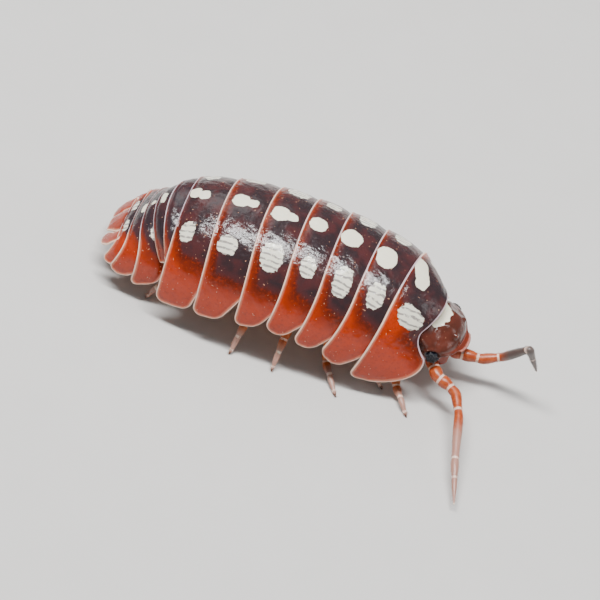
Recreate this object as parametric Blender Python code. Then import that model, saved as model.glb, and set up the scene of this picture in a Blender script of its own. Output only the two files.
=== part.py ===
"""A pill woodlouse, life size, standing with its back arched and its feelers spread.

The body lies along X with the head toward +X; Y points to the animal's left and Z up.
Sizes are in millimetres and become metres in solid(). The back is a chain of hind margins:
each one is half an ellipse that crosses the back from skirt to skirt, and each shell plate
is the curved sheet between its own hind margin and the one in front of it.
"""
from collections import namedtuple
import math

import bmesh
import bpy
import numpy as np

for leftover in list(bpy.data.objects):
    bpy.data.objects.remove(leftover, do_unlink=True)

# Driving dimensions, in millimetres and degrees
MM = 0.001
BACK_HEIGHT = 5.8          # top of the fourth plate's hind margin above the floor
PLATE = 0.55               # thickness of a shell plate
TAIL_PLATE = 0.50          # and of the small plates of the tail
GAP = 0.3                  # clear space between pieces that meet
SEAM = 0.38                # the same space measured along the back, where a joint slants
NECK_SEAM = 0.52           # and behind the first plate, which is turned to the right
SCARF = 0.3                # how far a plate's hind edge overhangs the next plate
TAPER = 0.10               # a short tail plate is narrower inside by this much at each edge
TAPER_PART = 0.25          # but by no more than this part of its width
STEP = 0.10                # a plate's front edge lies this much lower than its hind edge
PLATE_STATIONS = 33        # sections from skirt to skirt

# One row a plate: length along the back, slope of the back, tilt of the hind margin, its half
# width and arch height, how far its corner sweeps back and hangs down, the length of its skirt's
# bottom edge, where the gap before the skirt begins, where the plate ends at the side (both as
# parts of the way down), and its turn to the animal's right
Margin = namedtuple("Margin", "name length slope tilt half arch sweep hang skirt vee reach turn")
BACK = (
    Margin("front", 0.0, 0.0, 13.5, 2.48, 2.94, 0.0, 0.0, 0.0, 1.0, 1.0, -3.9),
    Margin("pereonite_1", 2.22, 25.0, 2.0, 3.58, 4.05, 0.58, 0.32, 1.30, 0.76, 1.0, 7.0),
    Margin("pereonite_2", 1.84, 7.0, 0.5, 3.72, 3.62, 0.68, 0.07, 0.95, 0.71, 1.0, 2.5),
    Margin("pereonite_3", 1.77, 7.0, -2.0, 3.80, 3.56, 0.56, 0.14, 0.92, 0.71, 1.0, 0.0),
    Margin("pereonite_4", 1.67, 3.0, -6.0, 3.82, 3.56, 0.52, -0.04, 0.85, 0.72, 1.0, 0.0),
    Margin("pereonite_5", 1.82, -2.0, -9.0, 3.82, 3.55, 0.38, 0.34, 1.14, 0.74, 1.0, 0.0),
    Margin("pereonite_6", 1.99, -8.0, -8.0, 3.68, 3.56, 0.33, 0.42, 1.27, 0.67, 1.0, 0.0),
    Margin("pereonite_7", 1.85, -20.0, -5.0, 3.38, 3.25, 0.21, 0.38, 1.62, 0.61, 1.0, 0.0),
    Margin("pleonite_1", 0.80, -19.0, -28.0, 2.89, 3.10, 0.0, 0.0, 0.0, 1.0, 0.46, 0.0),
    Margin("pleonite_2", 0.80, -47.0, -38.0, 2.54, 2.98, 0.12, 0.0, 0.0, 1.0, 0.60, 0.0),
    Margin("pleonite_3", 0.72, -54.0, -39.0, 2.70, 1.78, 1.22, 0.42, 1.25, 0.50, 1.0, 0.0),
    Margin("pleonite_4", 0.78, -57.0, -40.0, 2.39, 0.50, 1.15, 0.42, 0.64, 0.80, 1.0, 0.0),
    Margin("pleonite_5", 0.66, -50.0, -49.0, 1.88, 0.18, 0.95, 0.22, 0.62, 0.70, 1.0, 0.0),
)
LEVEL_PLATE = 4            # the plate whose hind margin stands over x = 0
CORNER_START = 0.45        # part of the half width where the backward sweep begins
NECK_PLATE = 1             # the first plate, which wraps the head
NECK_DIP = 2.08            # backward dip of the first plate's front edge beside the head
NECK_HORN = 16.3           # and how sharply its front corner comes forward again
NECK_HORN_START = 0.47
NECK_EDGE = 0.20           # clear space in front of the first plate
NECK_WEDGE = 0.75          # its front edge is thinned over this length
SKIRT_SLANT = 1.2          # power of the slant of a skirt's front edge
HIND_ROUND = 0.42          # radius of a skirt's hind corner
FORE_ROUND = 0.32          # and of its front one
CORNER_PART = 0.42         # but each is at most this part of the bottom edge
HEAD_TURN = 8.0
NECK_SIDE = -0.31          # the front margin stands this far to the animal's right
# and the tail bends to the right by these amounts, from the first small plate back
TAIL_SIDE = (-0.03, -0.06, -0.10, -0.13, -0.15)

# Head: the dome's sections from neck to brow, each with its place forward of the head's centre,
# half width, top and bottom
HEAD_CENTRE = (7.20, -0.50, 2.55)
Section = namedtuple("Section", "ahead half top bottom")
HEAD_SECTIONS = (
    Section(-1.00, 0.70, 0.28, -0.60),
    Section(-0.65, 1.13, 0.52, -0.90),
    Section(-0.30, 1.45, 0.84, -1.05),
    Section(0.05, 1.64, 1.04, -1.15),
    Section(0.40, 1.68, 1.08, -1.15),
    Section(0.75, 1.59, 0.95, -1.05),
    Section(1.02, 1.34, 0.76, -0.85),
    Section(1.20, 0.96, 0.57, -0.55),
    Section(1.28, 0.48, 0.38, -0.20),
)
EYE_ACROSS = 0.54
EYE_PLACE = (0.27, 1.66, -0.15)   # ahead of the head's centre, to the side, and up
SOCKET_GAP = 0.28          # clear space round an eye in its socket
SHIELD_AHEAD = 1.36        # front of the frontal shield
SHIELD_TOP = 0.46
SHIELD_LOW = -0.40
SHIELD_HALF = 0.66
LOBE_PLACE = (0.98, 1.14, -0.36)  # centre of the lobe over each feeler
LIP_PLACE = (0.95, 0.0, -0.72)

# Legs: pair number, where the foot stands relative to the hip, on each side
Stride = namedtuple("Stride", "pair right_x right_y left_x left_y")
STRIDES = (
    Stride(1, 7.22, 4.00, 6.95, 3.75),
    Stride(2, 5.70, 2.85, 3.85, 4.20),
    Stride(3, 3.88, 4.30, 2.90, 4.25),
    Stride(4, 0.70, 4.12, 1.15, 4.20),
    Stride(5, -1.39, 4.00, -1.65, 4.15),
    Stride(6, -3.70, 1.75, -3.40, 4.00),
    Stride(7, -6.01, 2.40, -5.60, 2.90),
)
NECK_HIP_BACK = 0.50       # the first hips stand this much nearer their hind margin
HIP_PART = 0.76            # hips to each side, as part of the trunk's half width
HIP_GAP = 0.36             # clear space over a hip, whose top is a little askew
LEG_RADIUS = 0.26
FOOT_RADIUS = 0.13
FOOT_CLEAR = 0.05          # a leg's underside clears the floor by this much, but for its foot
LEG_JOINTS = (0.0, 0.36, 0.52, 0.64, 0.78, 0.94, 1.0)   # ends of the joints, as parts of the leg
SIDES = 8                  # sides of legs and feelers

# Feelers: ends of the joints from the socket to the tip
FEELER_RIGHT = (
    (7.88, -2.18, 1.72), (8.02, -2.50, 1.62), (8.50, -2.76, 1.56), (9.00, -3.03, 1.50),
    (9.50, -4.05, 1.38), (10.07, -6.30, 0.90), (10.72, -8.42, 0.45),
)
FEELER_LEFT = (
    (8.78, 0.14, 1.40), (8.88, -0.18, 1.42), (9.02, -0.48, 1.55), (9.55, -0.46, 1.62),
    (10.42, -0.25, 2.00), (11.50, -0.93, 3.75), (12.08, -0.07, 1.65),
)
FEELER_RADII = (0.30, 0.30, 0.29, 0.27, 0.26, 0.25, 0.12)

# Underside
NECK_BACK = 1.35           # the trunk's front end stands this far behind the front margin
BELLY = (2.35, 2.55, 2.95, 3.10, 3.10, 3.05, 2.85, 2.50)   # height at each margin, front to rear
TRUNK_INSET = PLATE + GAP + STEP + 0.05   # the trunk's depth below the outside of the plates
TRUNK_REACH = 0.60         # part of the quarter turn that the trunk fills under the plates
TAIL_PATH = ((-5.75, 2.98), (-6.25, 2.66), (-6.75, 2.16), (-7.20, 1.60))
TAIL_HALF = (1.25, 1.15, 1.00, 0.75)
TAIL_DEPTH = (0.50, 0.38, 0.32, 0.26)
GILL_PAIRS = 5
GILL_START = (-5.20, 2.25)  # top of the foremost gill plate, ahead and up
GILL_STEP = (-0.34, -0.27)  # and the way to the next one behind it
GILL_LAP = 0.22             # how far each gill plate stands out below the next
GILL_THICK = 0.50
GILL_SIDES = (0.15, 1.25)   # inner and outer sides of the gill plates
TAIL_SLOPE = 50.0          # slope of the tail plate and the tail feet
# Their outlines, each as distance behind the last hind margin and distance to the side
TELSON = ((0.40, 0.78), (0.92, 0.48), (1.04, 0.36))
UROPOD = ((0.56, 1.10), (0.98, 0.82), (1.12, 0.90), (1.16, 1.18), (1.06, 1.38), (0.88, 1.46), (0.62, 1.40))

SHELL_COLOUR = (0.030, 0.016, 0.017)
SKIRT_COLOUR = (0.35, 0.07, 0.03)
BELLY_COLOUR = (0.62, 0.50, 0.42)
LEG_COLOUR = (0.55, 0.27, 0.15)
EYE_COLOUR = (0.01, 0.012, 0.02)


def material(name, colour, roughness):
    """A plain Principled material in one colour."""
    made = bpy.data.materials.new(name)
    made.use_nodes = True
    shader = made.node_tree.nodes["Principled BSDF"]
    shader.inputs["Base Color"].default_value = (*colour, 1.0)
    shader.inputs["Roughness"].default_value = roughness
    shader.inputs["Metallic"].default_value = 0.0
    return made


ANIMAL = bpy.data.objects.new("woodlouse", None)
bpy.context.scene.collection.objects.link(ANIMAL)


def solid(name, points, faces, colour, roughness=0.35):
    """Make one closed object from points in millimetres, with its faces turned outward."""
    mesh = bpy.data.meshes.new(name)
    mesh.from_pydata((np.asarray(points) * MM).tolist(), [], faces)
    shaped = bmesh.new()
    shaped.from_mesh(mesh)
    bmesh.ops.recalc_face_normals(shaped, faces=shaped.faces)
    shaped.to_mesh(mesh)
    shaped.free()
    mesh.materials.append(material(name, colour, roughness))
    made = bpy.data.objects.new(name, mesh)
    bpy.context.scene.collection.objects.link(made)
    made.parent = ANIMAL
    return made


def loft(rings):
    """Join rings of equal count into a closed skin with flat ends."""
    rings = np.asarray(rings)
    count, sides = rings.shape[:2]
    faces = []
    for ring in range(count - 1):
        for side in range(sides):
            following = (side + 1) % sides
            low = ring * sides
            high = low + sides
            faces.append((low + side, low + following, high + following, high + side))
    faces.append(tuple(range(sides)))
    faces.append(tuple(range((count - 1) * sides, count * sides)))
    return rings.reshape(-1, 3), faces


def turned(points, tilt=0.0, turn=0.0):
    """Tilt points nose down about Y, then turn them to the right about Z, in degrees."""
    pitch = math.radians(tilt)
    yaw = math.radians(turn)
    about_y = np.array([[math.cos(pitch), 0, math.sin(pitch)], [0, 1, 0],
                        [-math.sin(pitch), 0, math.cos(pitch)]])
    about_z = np.array([[math.cos(yaw), math.sin(yaw), 0], [-math.sin(yaw), math.cos(yaw), 0],
                        [0, 0, 1]])
    return np.asarray(points) @ about_y.T @ about_z.T


def margin_tops():
    """Walk back along the midline from the front margin and return the top of each margin.

    Each margin lies one plate length behind the last, along that plate's slope. The walk is
    then moved so that the level plate's margin stands over x = 0 at the height of the back.
    """
    place = np.zeros(3)
    tops = []
    for row in BACK:
        slope = math.radians(row.slope)
        place = place + row.length * np.array([-math.cos(slope), 0.0, math.sin(slope)])
        tops.append(place)
    tops = np.array(tops)
    tops += np.array([0.0, 0.0, BACK_HEIGHT]) - tops[LEVEL_PLATE]
    tops[0, 1] = NECK_SIDE
    tops[1, 1] = NECK_SIDE / 2
    tops[-len(TAIL_SIDE):, 1] = TAIL_SIDE
    return tops


TOPS = margin_tops()


def margin_curve(number, across):
    """Points on a hind margin; across runs from -1 at the left skirt to 1 at the right.

    The curve is half an ellipse. Its corners sweep back and hang down as the square of the
    distance past CORNER_START. The front edge of the first plate dips back beside the head.
    """
    row = BACK[number]
    across = np.asarray(across, float)
    angle = across * math.pi / 2
    past = np.clip((np.abs(across) - CORNER_START) / (1 - CORNER_START), 0, None)
    back = -row.sweep * past ** 2
    if number == 0:
        horn = np.clip(np.abs(across) - NECK_HORN_START, 0, None)
        back = -NECK_DIP * across ** 2 + NECK_HORN * horn ** 2
    down = row.arch * (np.cos(angle) - 1) - row.hang * past ** 2
    return turned(np.stack([back, -row.half * np.sin(angle), down], -1), row.tilt, row.turn) + TOPS[number]


def plate_point(number, across, forward):
    """Points on a plate's outer face, forward millimetres ahead of its hind margin."""
    rear = margin_curve(number, across)
    front = margin_curve(number - 1, across)
    length = np.linalg.norm(front - rear, axis=-1, keepdims=True)
    part = np.asarray(forward)[..., None] / length
    bulge = BACK[number].length * 0.035
    return rear + (front - rear) * part + plate_normal(number, across) * (
        bulge * 4 * part * (1 - part) - STEP * part)


def plate_normal(number, across):
    """Outward directions of a plate: square to its hind margin and to its length."""
    small = 0.01
    along = margin_curve(number, across + small) - margin_curve(number, across - small)
    ahead = margin_curve(number - 1, across) - margin_curve(number, across)
    normal = np.cross(ahead, -along)
    return normal / np.linalg.norm(normal, axis=-1, keepdims=True)


def plate_length(number, across):
    """Distance between a plate's two margins at each station."""
    return np.linalg.norm(margin_curve(number - 1, across) - margin_curve(number, across), axis=-1)


def margin_slant(number, across):
    """Sine of the angle between a plate's length and the margin ahead of it."""
    small = 0.01
    along = margin_curve(number - 1, across + small) - margin_curve(number - 1, across - small)
    ahead = margin_curve(number - 1, across) - margin_curve(number, across)
    square = np.linalg.norm(np.cross(along, ahead), axis=-1)
    return square / (np.linalg.norm(along, axis=-1) * np.linalg.norm(ahead, axis=-1))


def skirt_edges(number, across):
    """How far ahead of its hind margin a plate starts and ends at each station.

    Over the back a plate ends one seam behind the plate in front. Below the vee's top its front
    edge slants back to the length of the skirt, and both bottom corners are rounded.
    """
    row = BACK[number]
    away = np.abs(across)
    front = plate_length(number, across)
    rear = np.zeros_like(across)
    if number == NECK_PLATE:
        front = front - NECK_EDGE
    else:
        seam = NECK_SEAM if number == NECK_PLATE + 1 else SEAM
        front = front - seam / margin_slant(number, across)
    if row.skirt:
        lower = np.clip((away - row.vee) / (1 - row.vee), 0, 1)
        front = front - np.clip(front - row.skirt, 0, None) * lower ** SKIRT_SLANT
        quarter = math.pi / 2 * math.sqrt((row.half ** 2 + row.arch ** 2) / 2)
        below = (1 - away) * quarter
        most = CORNER_PART * front[-1]
        rear = rear + corner_inset(below, min(HIND_ROUND, most))
        front = front - corner_inset(below, min(FORE_ROUND, most))
    return rear, front


def corner_inset(below, radius):
    """How far a rounded corner draws in, at a distance above the bottom edge."""
    inside = np.clip(radius - below, 0, radius)
    return radius - np.sqrt(radius ** 2 - inside ** 2)


def make_plate(number):
    """A shell plate: a curved sheet from skirt to skirt, its joints slanting forward."""
    row = BACK[number]
    across = row.reach * np.sin(np.linspace(-1, 1, PLATE_STATIONS) * math.pi / 2)
    rear, front = skirt_edges(number, across)
    long_plate = row.length > 1
    thick = plate_normal(number, across) * (PLATE if long_plate else TAIL_PLATE)
    steps = np.linspace(0, 1, 5 if long_plate else 3)
    taper = np.minimum(TAPER, TAPER_PART * (front - rear))
    inner_front = front + (SCARF if long_plate else -taper)
    inner_rear = rear + (SCARF if long_plate else taper)
    if number == NECK_PLATE:
        inner_front = front - NECK_WEDGE
    ring = []
    for part in steps:
        ring.append(plate_point(number, across, rear + (front - rear) * part))
    for part in steps[::-1]:
        ring.append(plate_point(number, across, inner_rear + (inner_front - inner_rear) * part) - thick)
    points, faces = loft(np.stack(ring, 1))
    return solid(row.name, points, faces, SHELL_COLOUR)


def superellipse(half, top, bottom, count, power=2.08):
    """A closed outline with its own height above and below the middle."""
    angle = np.linspace(0, 2 * math.pi, count, endpoint=False)
    wide = np.sign(np.cos(angle)) * np.abs(np.cos(angle)) ** (2 / power)
    high = np.sign(np.sin(angle)) * np.abs(np.sin(angle)) ** (2 / power)
    return half * wide, np.where(high > 0, top, -bottom) * high


def head_place(local):
    """A place on the head, given ahead, to the left and up from its centre."""
    return turned(np.atleast_2d(local), 0.0, HEAD_TURN) + np.array(HEAD_CENTRE)


def fuse(name, base, added, cut, colour):
    """Join pieces to a base in one union, cut others away, and keep the largest closed surface."""
    for pieces, operation in ((added, "UNION"), (cut, "DIFFERENCE")):
        if not pieces:
            continue
        group = bpy.data.collections.new(name + "_" + operation.lower())
        for piece in pieces:
            group.objects.link(piece)
        step = base.modifiers.new(operation, "BOOLEAN")
        step.operation = operation
        step.operand_type = "COLLECTION"
        step.collection = group
        step.solver = "EXACT"
        bpy.context.view_layer.update()
        shaped = bpy.data.meshes.new_from_object(base.evaluated_get(bpy.context.evaluated_depsgraph_get()))
        base.modifiers.clear()
        base.data = shaped
        for piece in pieces:
            bpy.data.objects.remove(piece, do_unlink=True)
        bpy.data.collections.remove(group)
    keep_largest(base.data)
    base.data.materials.clear()
    base.data.materials.append(material(name, colour, 0.35))
    base.name = name
    return base


def keep_largest(mesh):
    """Drop every closed surface but the one with the most faces, and merge doubled points."""
    shaped = bmesh.new()
    shaped.from_mesh(mesh)
    bmesh.ops.remove_doubles(shaped, verts=shaped.verts, dist=0.00001)
    bmesh.ops.dissolve_degenerate(shaped, edges=shaped.edges, dist=0.00001)
    waiting = set(shaped.faces)
    islands = []
    while waiting:
        front = [waiting.pop()]
        island = list(front)
        while front:
            face = front.pop()
            for edge in face.edges:
                for other in edge.link_faces:
                    if other in waiting:
                        waiting.remove(other)
                        front.append(other)
                        island.append(other)
        islands.append(island)
    islands.sort(key=len)
    scraps = [face for island in islands[:-1] for face in island]
    bmesh.ops.delete(shaped, geom=scraps, context="FACES")
    shaped.to_mesh(mesh)
    shaped.free()


def make_shield():
    """The frontal shield: a three-cornered plate standing out of the brow, its upper edge raised."""
    edge = []
    for side in np.linspace(-1, 1, 5):
        edge.append((side, SHIELD_TOP - 0.22 * side ** 2))
    for side in (0.6, 0.0, -0.6):
        edge.append((side, SHIELD_LOW + 0.35 * abs(side)))
    rings = []
    for back in (0.0, 0.40):
        rings.append(head_place([(SHIELD_AHEAD - back - 0.16 * side ** 2, side * SHIELD_HALF, up)
                                 for side, up in edge]))
    points, faces = loft(rings)
    return solid("shield", points, faces, SHELL_COLOUR)


def make_head():
    """The head: dome, frontal shield, the lobe over each feeler and the lip, with eye sockets."""
    rings = []
    for section in HEAD_SECTIONS:
        wide, high = superellipse(section.half, section.top, section.bottom, 28)
        rings.append(head_place(np.stack([np.full_like(wide, section.ahead), wide, high], -1)))
    points, faces = loft(rings)
    dome = solid("head_dome", points, faces, SHELL_COLOUR)
    added = [make_shield()]
    cut = []
    socket = EYE_ACROSS / 2 + SOCKET_GAP
    for side in (-1, 1):
        ahead, away, up = LOBE_PLACE
        lobe = head_place((ahead, side * away, up))[0]
        added.append(ball("lobe", lobe, (0.34, 0.30, 0.24), SHELL_COLOUR, HEAD_TURN, rows=6, count=10))
        ahead, away, up = EYE_PLACE
        cut.append(ball("socket", head_place((ahead, side * away, up))[0], (socket,) * 3, SHELL_COLOUR,
                        HEAD_TURN, rows=6, count=10))
    lip = head_place(LIP_PLACE)[0]
    added.append(ball("lip", lip, (0.36, 0.48, 0.42), SHELL_COLOUR, HEAD_TURN, rows=6, count=10))
    return fuse("head", dome, added, cut, SHELL_COLOUR)


def ball(name, centre, radii, colour, turn=0.0, rows=8, count=12):
    """A closed ellipsoid built from rings between two small flat poles."""
    rings = []
    for angle in np.linspace(0.12, math.pi - 0.12, rows):
        around = np.linspace(0, 2 * math.pi, count, endpoint=False)
        ring = np.stack([radii[0] * math.sin(angle) * np.cos(around),
                         radii[1] * math.sin(angle) * np.sin(around),
                         np.full(count, radii[2] * math.cos(angle))], -1)
        rings.append(turned(ring, 0.0, turn) + np.asarray(centre))
    points, faces = loft(rings)
    return solid(name, points, faces, colour)


def make_eye(side, name):
    """An eye in its socket on the side of the head."""
    ahead, away, up = EYE_PLACE
    radius = EYE_ACROSS / 2
    return ball(name, head_place((ahead, side * away, up))[0], (radius,) * 3, EYE_COLOUR,
                HEAD_TURN, rows=6, count=10)


def tube(name, path, radii, colour, level_ends=False):
    """A closed tube of SIDES sides along a path; level ends lie flat instead of square to it."""
    path = np.asarray(path, float)
    tangent = np.gradient(path, axis=0)
    if level_ends:
        tangent[0] = tangent[-1] = (0.0, 0.0, -1.0)
    tangent /= np.linalg.norm(tangent, axis=1, keepdims=True)
    side = np.cross(tangent[1], [0.0, 0.0, 1.0])
    around = np.linspace(0, 2 * math.pi, SIDES, endpoint=False) + math.pi / SIDES
    rings = []
    for place, way, radius in zip(path, tangent, radii):
        side = side - way * np.dot(side, way)
        side /= np.linalg.norm(side)
        across = np.cross(way, side)
        rings.append(place + radius * (np.cos(around)[:, None] * side + np.sin(around)[:, None] * across))
    points, faces = loft(rings)
    return solid(name, points, faces, colour)


def smooth(corners, per_span):
    """Points along a curve through the corners, eased at each one (Catmull and Rom)."""
    corners = np.asarray(corners, float)
    padded = np.vstack([2 * corners[0] - corners[1], corners, 2 * corners[-1] - corners[-2]])
    out = []
    for span in range(len(corners) - 1):
        before, start, end, after = padded[span:span + 4]
        for part in np.linspace(0, 1, per_span, endpoint=False):
            out.append(0.5 * (2 * start + (end - before) * part
                              + (2 * before - 5 * start + 4 * end - after) * part ** 2
                              + (3 * start - before - 3 * end + after) * part ** 3))
    out.append(corners[-1])
    return np.array(out)


def jointed(curve, ends):
    """Places along a curve at the ends and the middle of each joint, with the joint's girth there."""
    run = np.concatenate([[0], np.cumsum(np.linalg.norm(np.diff(curve, axis=0), axis=1))])
    run /= run[-1]
    parts = []
    girth = []
    for start, end in zip(ends[:-1], ends[1:]):
        for along, wide in ((0.08, 0.97), (0.5, 1.08), (0.92, 1.04)):
            parts.append(start + (end - start) * along)
            girth.append(wide)
    parts[0] = ends[0]
    parts[-1] = ends[-1]
    return np.stack([np.interp(parts, run, curve[:, axis]) for axis in range(3)], -1), np.array(girth)


def belly_height(ahead):
    """Height of the trunk's flat underside at a place along the body."""
    places = TOPS[7::-1, 0] - np.array([0.0] * 7 + [NECK_BACK])
    return float(np.interp(ahead, places, BELLY[::-1]))


def skirt_over(ahead, side):
    """Side and height of the lower of the two skirts nearest to a place along the body."""
    skirts = []
    for number in range(NECK_PLATE, NECK_PLATE + 7):
        place = plate_point(number, np.array([float(-side)]), np.array([BACK[number].skirt / 2]))[0]
        skirts.append((abs(place[0] - ahead), place[2], place[1]))
    low = min(sorted(skirts)[:2], key=lambda skirt: skirt[1])
    return low[2], low[1]


def make_leg(pair, side, name, foot_x, foot_y):
    """A leg from its hip under the trunk, out below the skirt and down to a level foot.

    It leaves the hip outward and down, passes below the skirt's edge by the gap, and stands on
    a small flat. A foot that is drawn in under the body stays inside the skirt all the way.
    """
    middle = (TOPS[pair] + TOPS[pair - 1]) / 2
    if pair == NECK_PLATE:
        middle = middle + NECK_HIP_BACK * (TOPS[pair] - middle)
    hip_height = min(belly_height(middle[0] - LEG_RADIUS), belly_height(middle[0] + LEG_RADIUS)) - HIP_GAP
    hip_side = HIP_PART * (BACK[pair].half + BACK[pair - 1].half - 2 * TRUNK_INSET) / 2
    hip_side *= math.sin(TRUNK_REACH * math.pi / 2)
    hip = np.array([middle[0], middle[1] + side * hip_side, hip_height])
    foot = np.array([foot_x, side * foot_y, 0.0])
    travel = abs(foot[1] - hip[1])
    edge_side, edge_height = skirt_over(hip[0] + (foot_x - hip[0]) * 0.7, side)
    under = edge_height - GAP - LEG_RADIUS - 0.04
    inside = np.clip((abs(edge_side - hip[1]) - PLATE - 0.35) / travel, 0.2, 0.55)
    below = np.clip((abs(edge_side - hip[1]) - 0.05) / travel, inside + 0.2, 0.8)
    corners = [hip]
    for part, height in ((inside, under + 0.22), (below, under)):
        height = min(height, hip[2] * (1 - part) + 0.25)
        ahead = hip[0] + (foot[0] - hip[0]) * part ** 1.5
        corners.append([ahead, hip[1] + (foot[1] - hip[1]) * part, height])
    corners.append(foot)
    path, girth = jointed(smooth(corners, 6), LEG_JOINTS)
    part = np.linspace(0, 1, len(path))
    radii = girth * (LEG_RADIUS + (FOOT_RADIUS - LEG_RADIUS) * np.clip((part - 0.55) / 0.45, 0, 1))
    path[:-1, 2] = np.maximum(path[:-1, 2], radii[:-1] + FOOT_CLEAR)
    return tube(name, path, radii, LEG_COLOUR, level_ends=True)


def make_feeler(name, joints):
    """A feeler of six joints, a little narrower at each bend."""
    path = []
    radii = []
    for number in range(len(joints) - 1):
        start = np.array(joints[number])
        end = np.array(joints[number + 1])
        for part, girth in ((0.1, 0.94), (0.5, 1.04), (0.9, 1.0)):
            path.append(start + (end - start) * part)
            wide = FEELER_RADII[number] + (FEELER_RADII[number + 1] - FEELER_RADII[number]) * part
            radii.append(wide * girth)
    return tube(name, path, radii, LEG_COLOUR)


def make_trunk():
    """The body under the seven large plates, flat below, from the neck to the tail."""
    rings = []
    for number in range(0, NECK_PLATE + 7):
        row = BACK[number]
        angle = np.linspace(-TRUNK_REACH, TRUNK_REACH, 15) * math.pi / 2
        half = row.half - TRUNK_INSET
        arch = row.arch - TRUNK_INSET
        back = np.zeros_like(angle)
        local = np.stack([back, -half * np.sin(angle), arch * np.cos(angle) - row.arch], -1)
        ring = turned(local, row.tilt, row.turn) + TOPS[number]
        if number == 0:
            ring = ring - np.array([NECK_BACK, 0.0, 0.25])
        if number == NECK_PLATE + 6:
            ring = ring + np.array([0.25, 0.0, 0.05])
        low = np.linspace(ring[-1, 1], ring[0, 1], 6)
        floor = np.stack([np.linspace(ring[-1, 0], ring[0, 0], 6), low * 0.98,
                          np.full(6, BELLY[number])], -1)
        rings.append(np.vstack([ring, floor]))
    points, faces = loft(rings)
    return solid("trunk", points, faces, BELLY_COLOUR)


def make_tail_core():
    """The body under the small hind plates, tapering down to the tail plate."""
    path = np.array([[x, 0.0, z] for x, z in TAIL_PATH])
    tangent = np.gradient(path, axis=0)
    rings = []
    for place, way, half, depth in zip(path, tangent, TAIL_HALF, TAIL_DEPTH):
        way = way / np.linalg.norm(way)
        up = np.cross(way, [0.0, 1.0, 0.0])
        wide, high = superellipse(half, depth, -depth, 16)
        rings.append(place + wide[:, None] * np.array([0, 1.0, 0]) + high[:, None] * up)
    points, faces = loft(rings)
    return solid("trunk_tail", points, faces, BELLY_COLOUR)


def tail_sheet(name, outline, colour):
    """A flat plate that hangs from the back end: an outline in the sloping plane, made thick."""
    slope = math.radians(TAIL_SLOPE)
    down = np.array([-math.cos(slope), 0.0, -math.sin(slope)])
    outward = np.array([-math.sin(slope), 0.0, math.cos(slope)])
    face = np.array([TOPS[-1] + down * along + np.array([0.0, side, 0.0]) for along, side in outline])
    points, faces = loft([face, face - outward * TAIL_PLATE])
    return solid(name, points, faces, colour)


def make_telson():
    """The tail plate, a triangle with a cut-off tip."""
    mirrored = [(along, -side) for along, side in TELSON[::-1]]
    return tail_sheet("telson", list(TELSON) + mirrored, SHELL_COLOUR)


def make_uropod(side, name):
    """A broad flat tail foot beside the tail plate, rounded outward."""
    return tail_sheet(name, [(along, side * away) for along, away in UROPOD], SKIRT_COLOUR)


def make_mouthparts():
    """The jaw feet that close the mouth from below."""
    centre = head_place((0.25, 0.0, -1.15 - GAP - 0.28))[0]
    return ball("mouthparts", centre, (0.62, 0.70, 0.28), BELLY_COLOUR, turn=HEAD_TURN)


def make_pleopods(side, name):
    """The gill plates of one side: a stack of five, each lapping the next, rounded outward."""
    step = np.array(GILL_STEP)
    along = step / np.linalg.norm(step)
    below = np.array([along[1], -along[0]])
    if below[1] > 0:
        below = -below
    rings = []
    for part in np.linspace(0, 1, 6):
        narrow = 1 - 0.45 * part ** 3
        outline = [np.array(GILL_START)]
        for number in range(GILL_PAIRS):
            start = np.array(GILL_START) + number * step
            outline.append(start + below * GILL_THICK * narrow)
            outline.append(start + step + below * (GILL_THICK + GILL_LAP) * narrow)
        outline.append(np.array(GILL_START) + GILL_PAIRS * step)
        middle = np.mean(outline, axis=0)
        away = GILL_SIDES[0] + (GILL_SIDES[1] - GILL_SIDES[0]) * part
        ring = [middle + (place - middle) * narrow for place in outline]
        rings.append([(place[0], side * away, place[1]) for place in ring])
    points, faces = loft(rings)
    return solid(name, points, faces, BELLY_COLOUR)


def stand_over_origin():
    """Move the whole animal so that its box is centred over the origin, with the feet at zero."""
    bpy.context.view_layer.update()
    corners = []
    for made in ANIMAL.children:
        for vertex in made.data.vertices:
            corners.append(made.matrix_world @ vertex.co)
    corners = np.array(corners)
    middle = (corners.min(0) + corners.max(0)) / 2
    ANIMAL.location = (-middle[0], -middle[1], -corners[:, 2].min())


for plate_number in range(1, len(BACK)):
    make_plate(plate_number)
make_head()
make_mouthparts()
make_trunk()
make_tail_core()
make_telson()
for side_name, side_sign in (("left", 1), ("right", -1)):
    make_eye(side_sign, "eye_" + side_name)
    make_uropod(side_sign, "uropod_" + side_name)
    make_pleopods(side_sign, "pleopods_" + side_name)
    for stride in STRIDES:
        foot_place = (stride.left_x, stride.left_y) if side_sign > 0 else (stride.right_x, stride.right_y)
        make_leg(stride.pair, side_sign, "leg_%s_%d" % (side_name, stride.pair), *foot_place)
make_feeler("antenna_right", FEELER_RIGHT)
make_feeler("antenna_left", FEELER_LEFT)
stand_over_origin()
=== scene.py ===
# %% [markdown]
# # A pill woodlouse, dressed round its frame
#
# The animal is a pill woodlouse 17 mm long that stands with its back arched, its head turned a
# little to its right and its feelers spread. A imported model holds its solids: twelve back plates,
# head, tail plate, fourteen legs and two feelers. This lesson gives each of them its real skin:
# thin plates that lap over one another like roof slates, jointed legs with bristles, an eye made
# of some twenty lenses. Everything is worked out with numpy from sizes in millimetres.

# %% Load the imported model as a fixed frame
from collections import namedtuple
import math

import bpy
from mathutils import Matrix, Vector
import numpy as np


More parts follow.
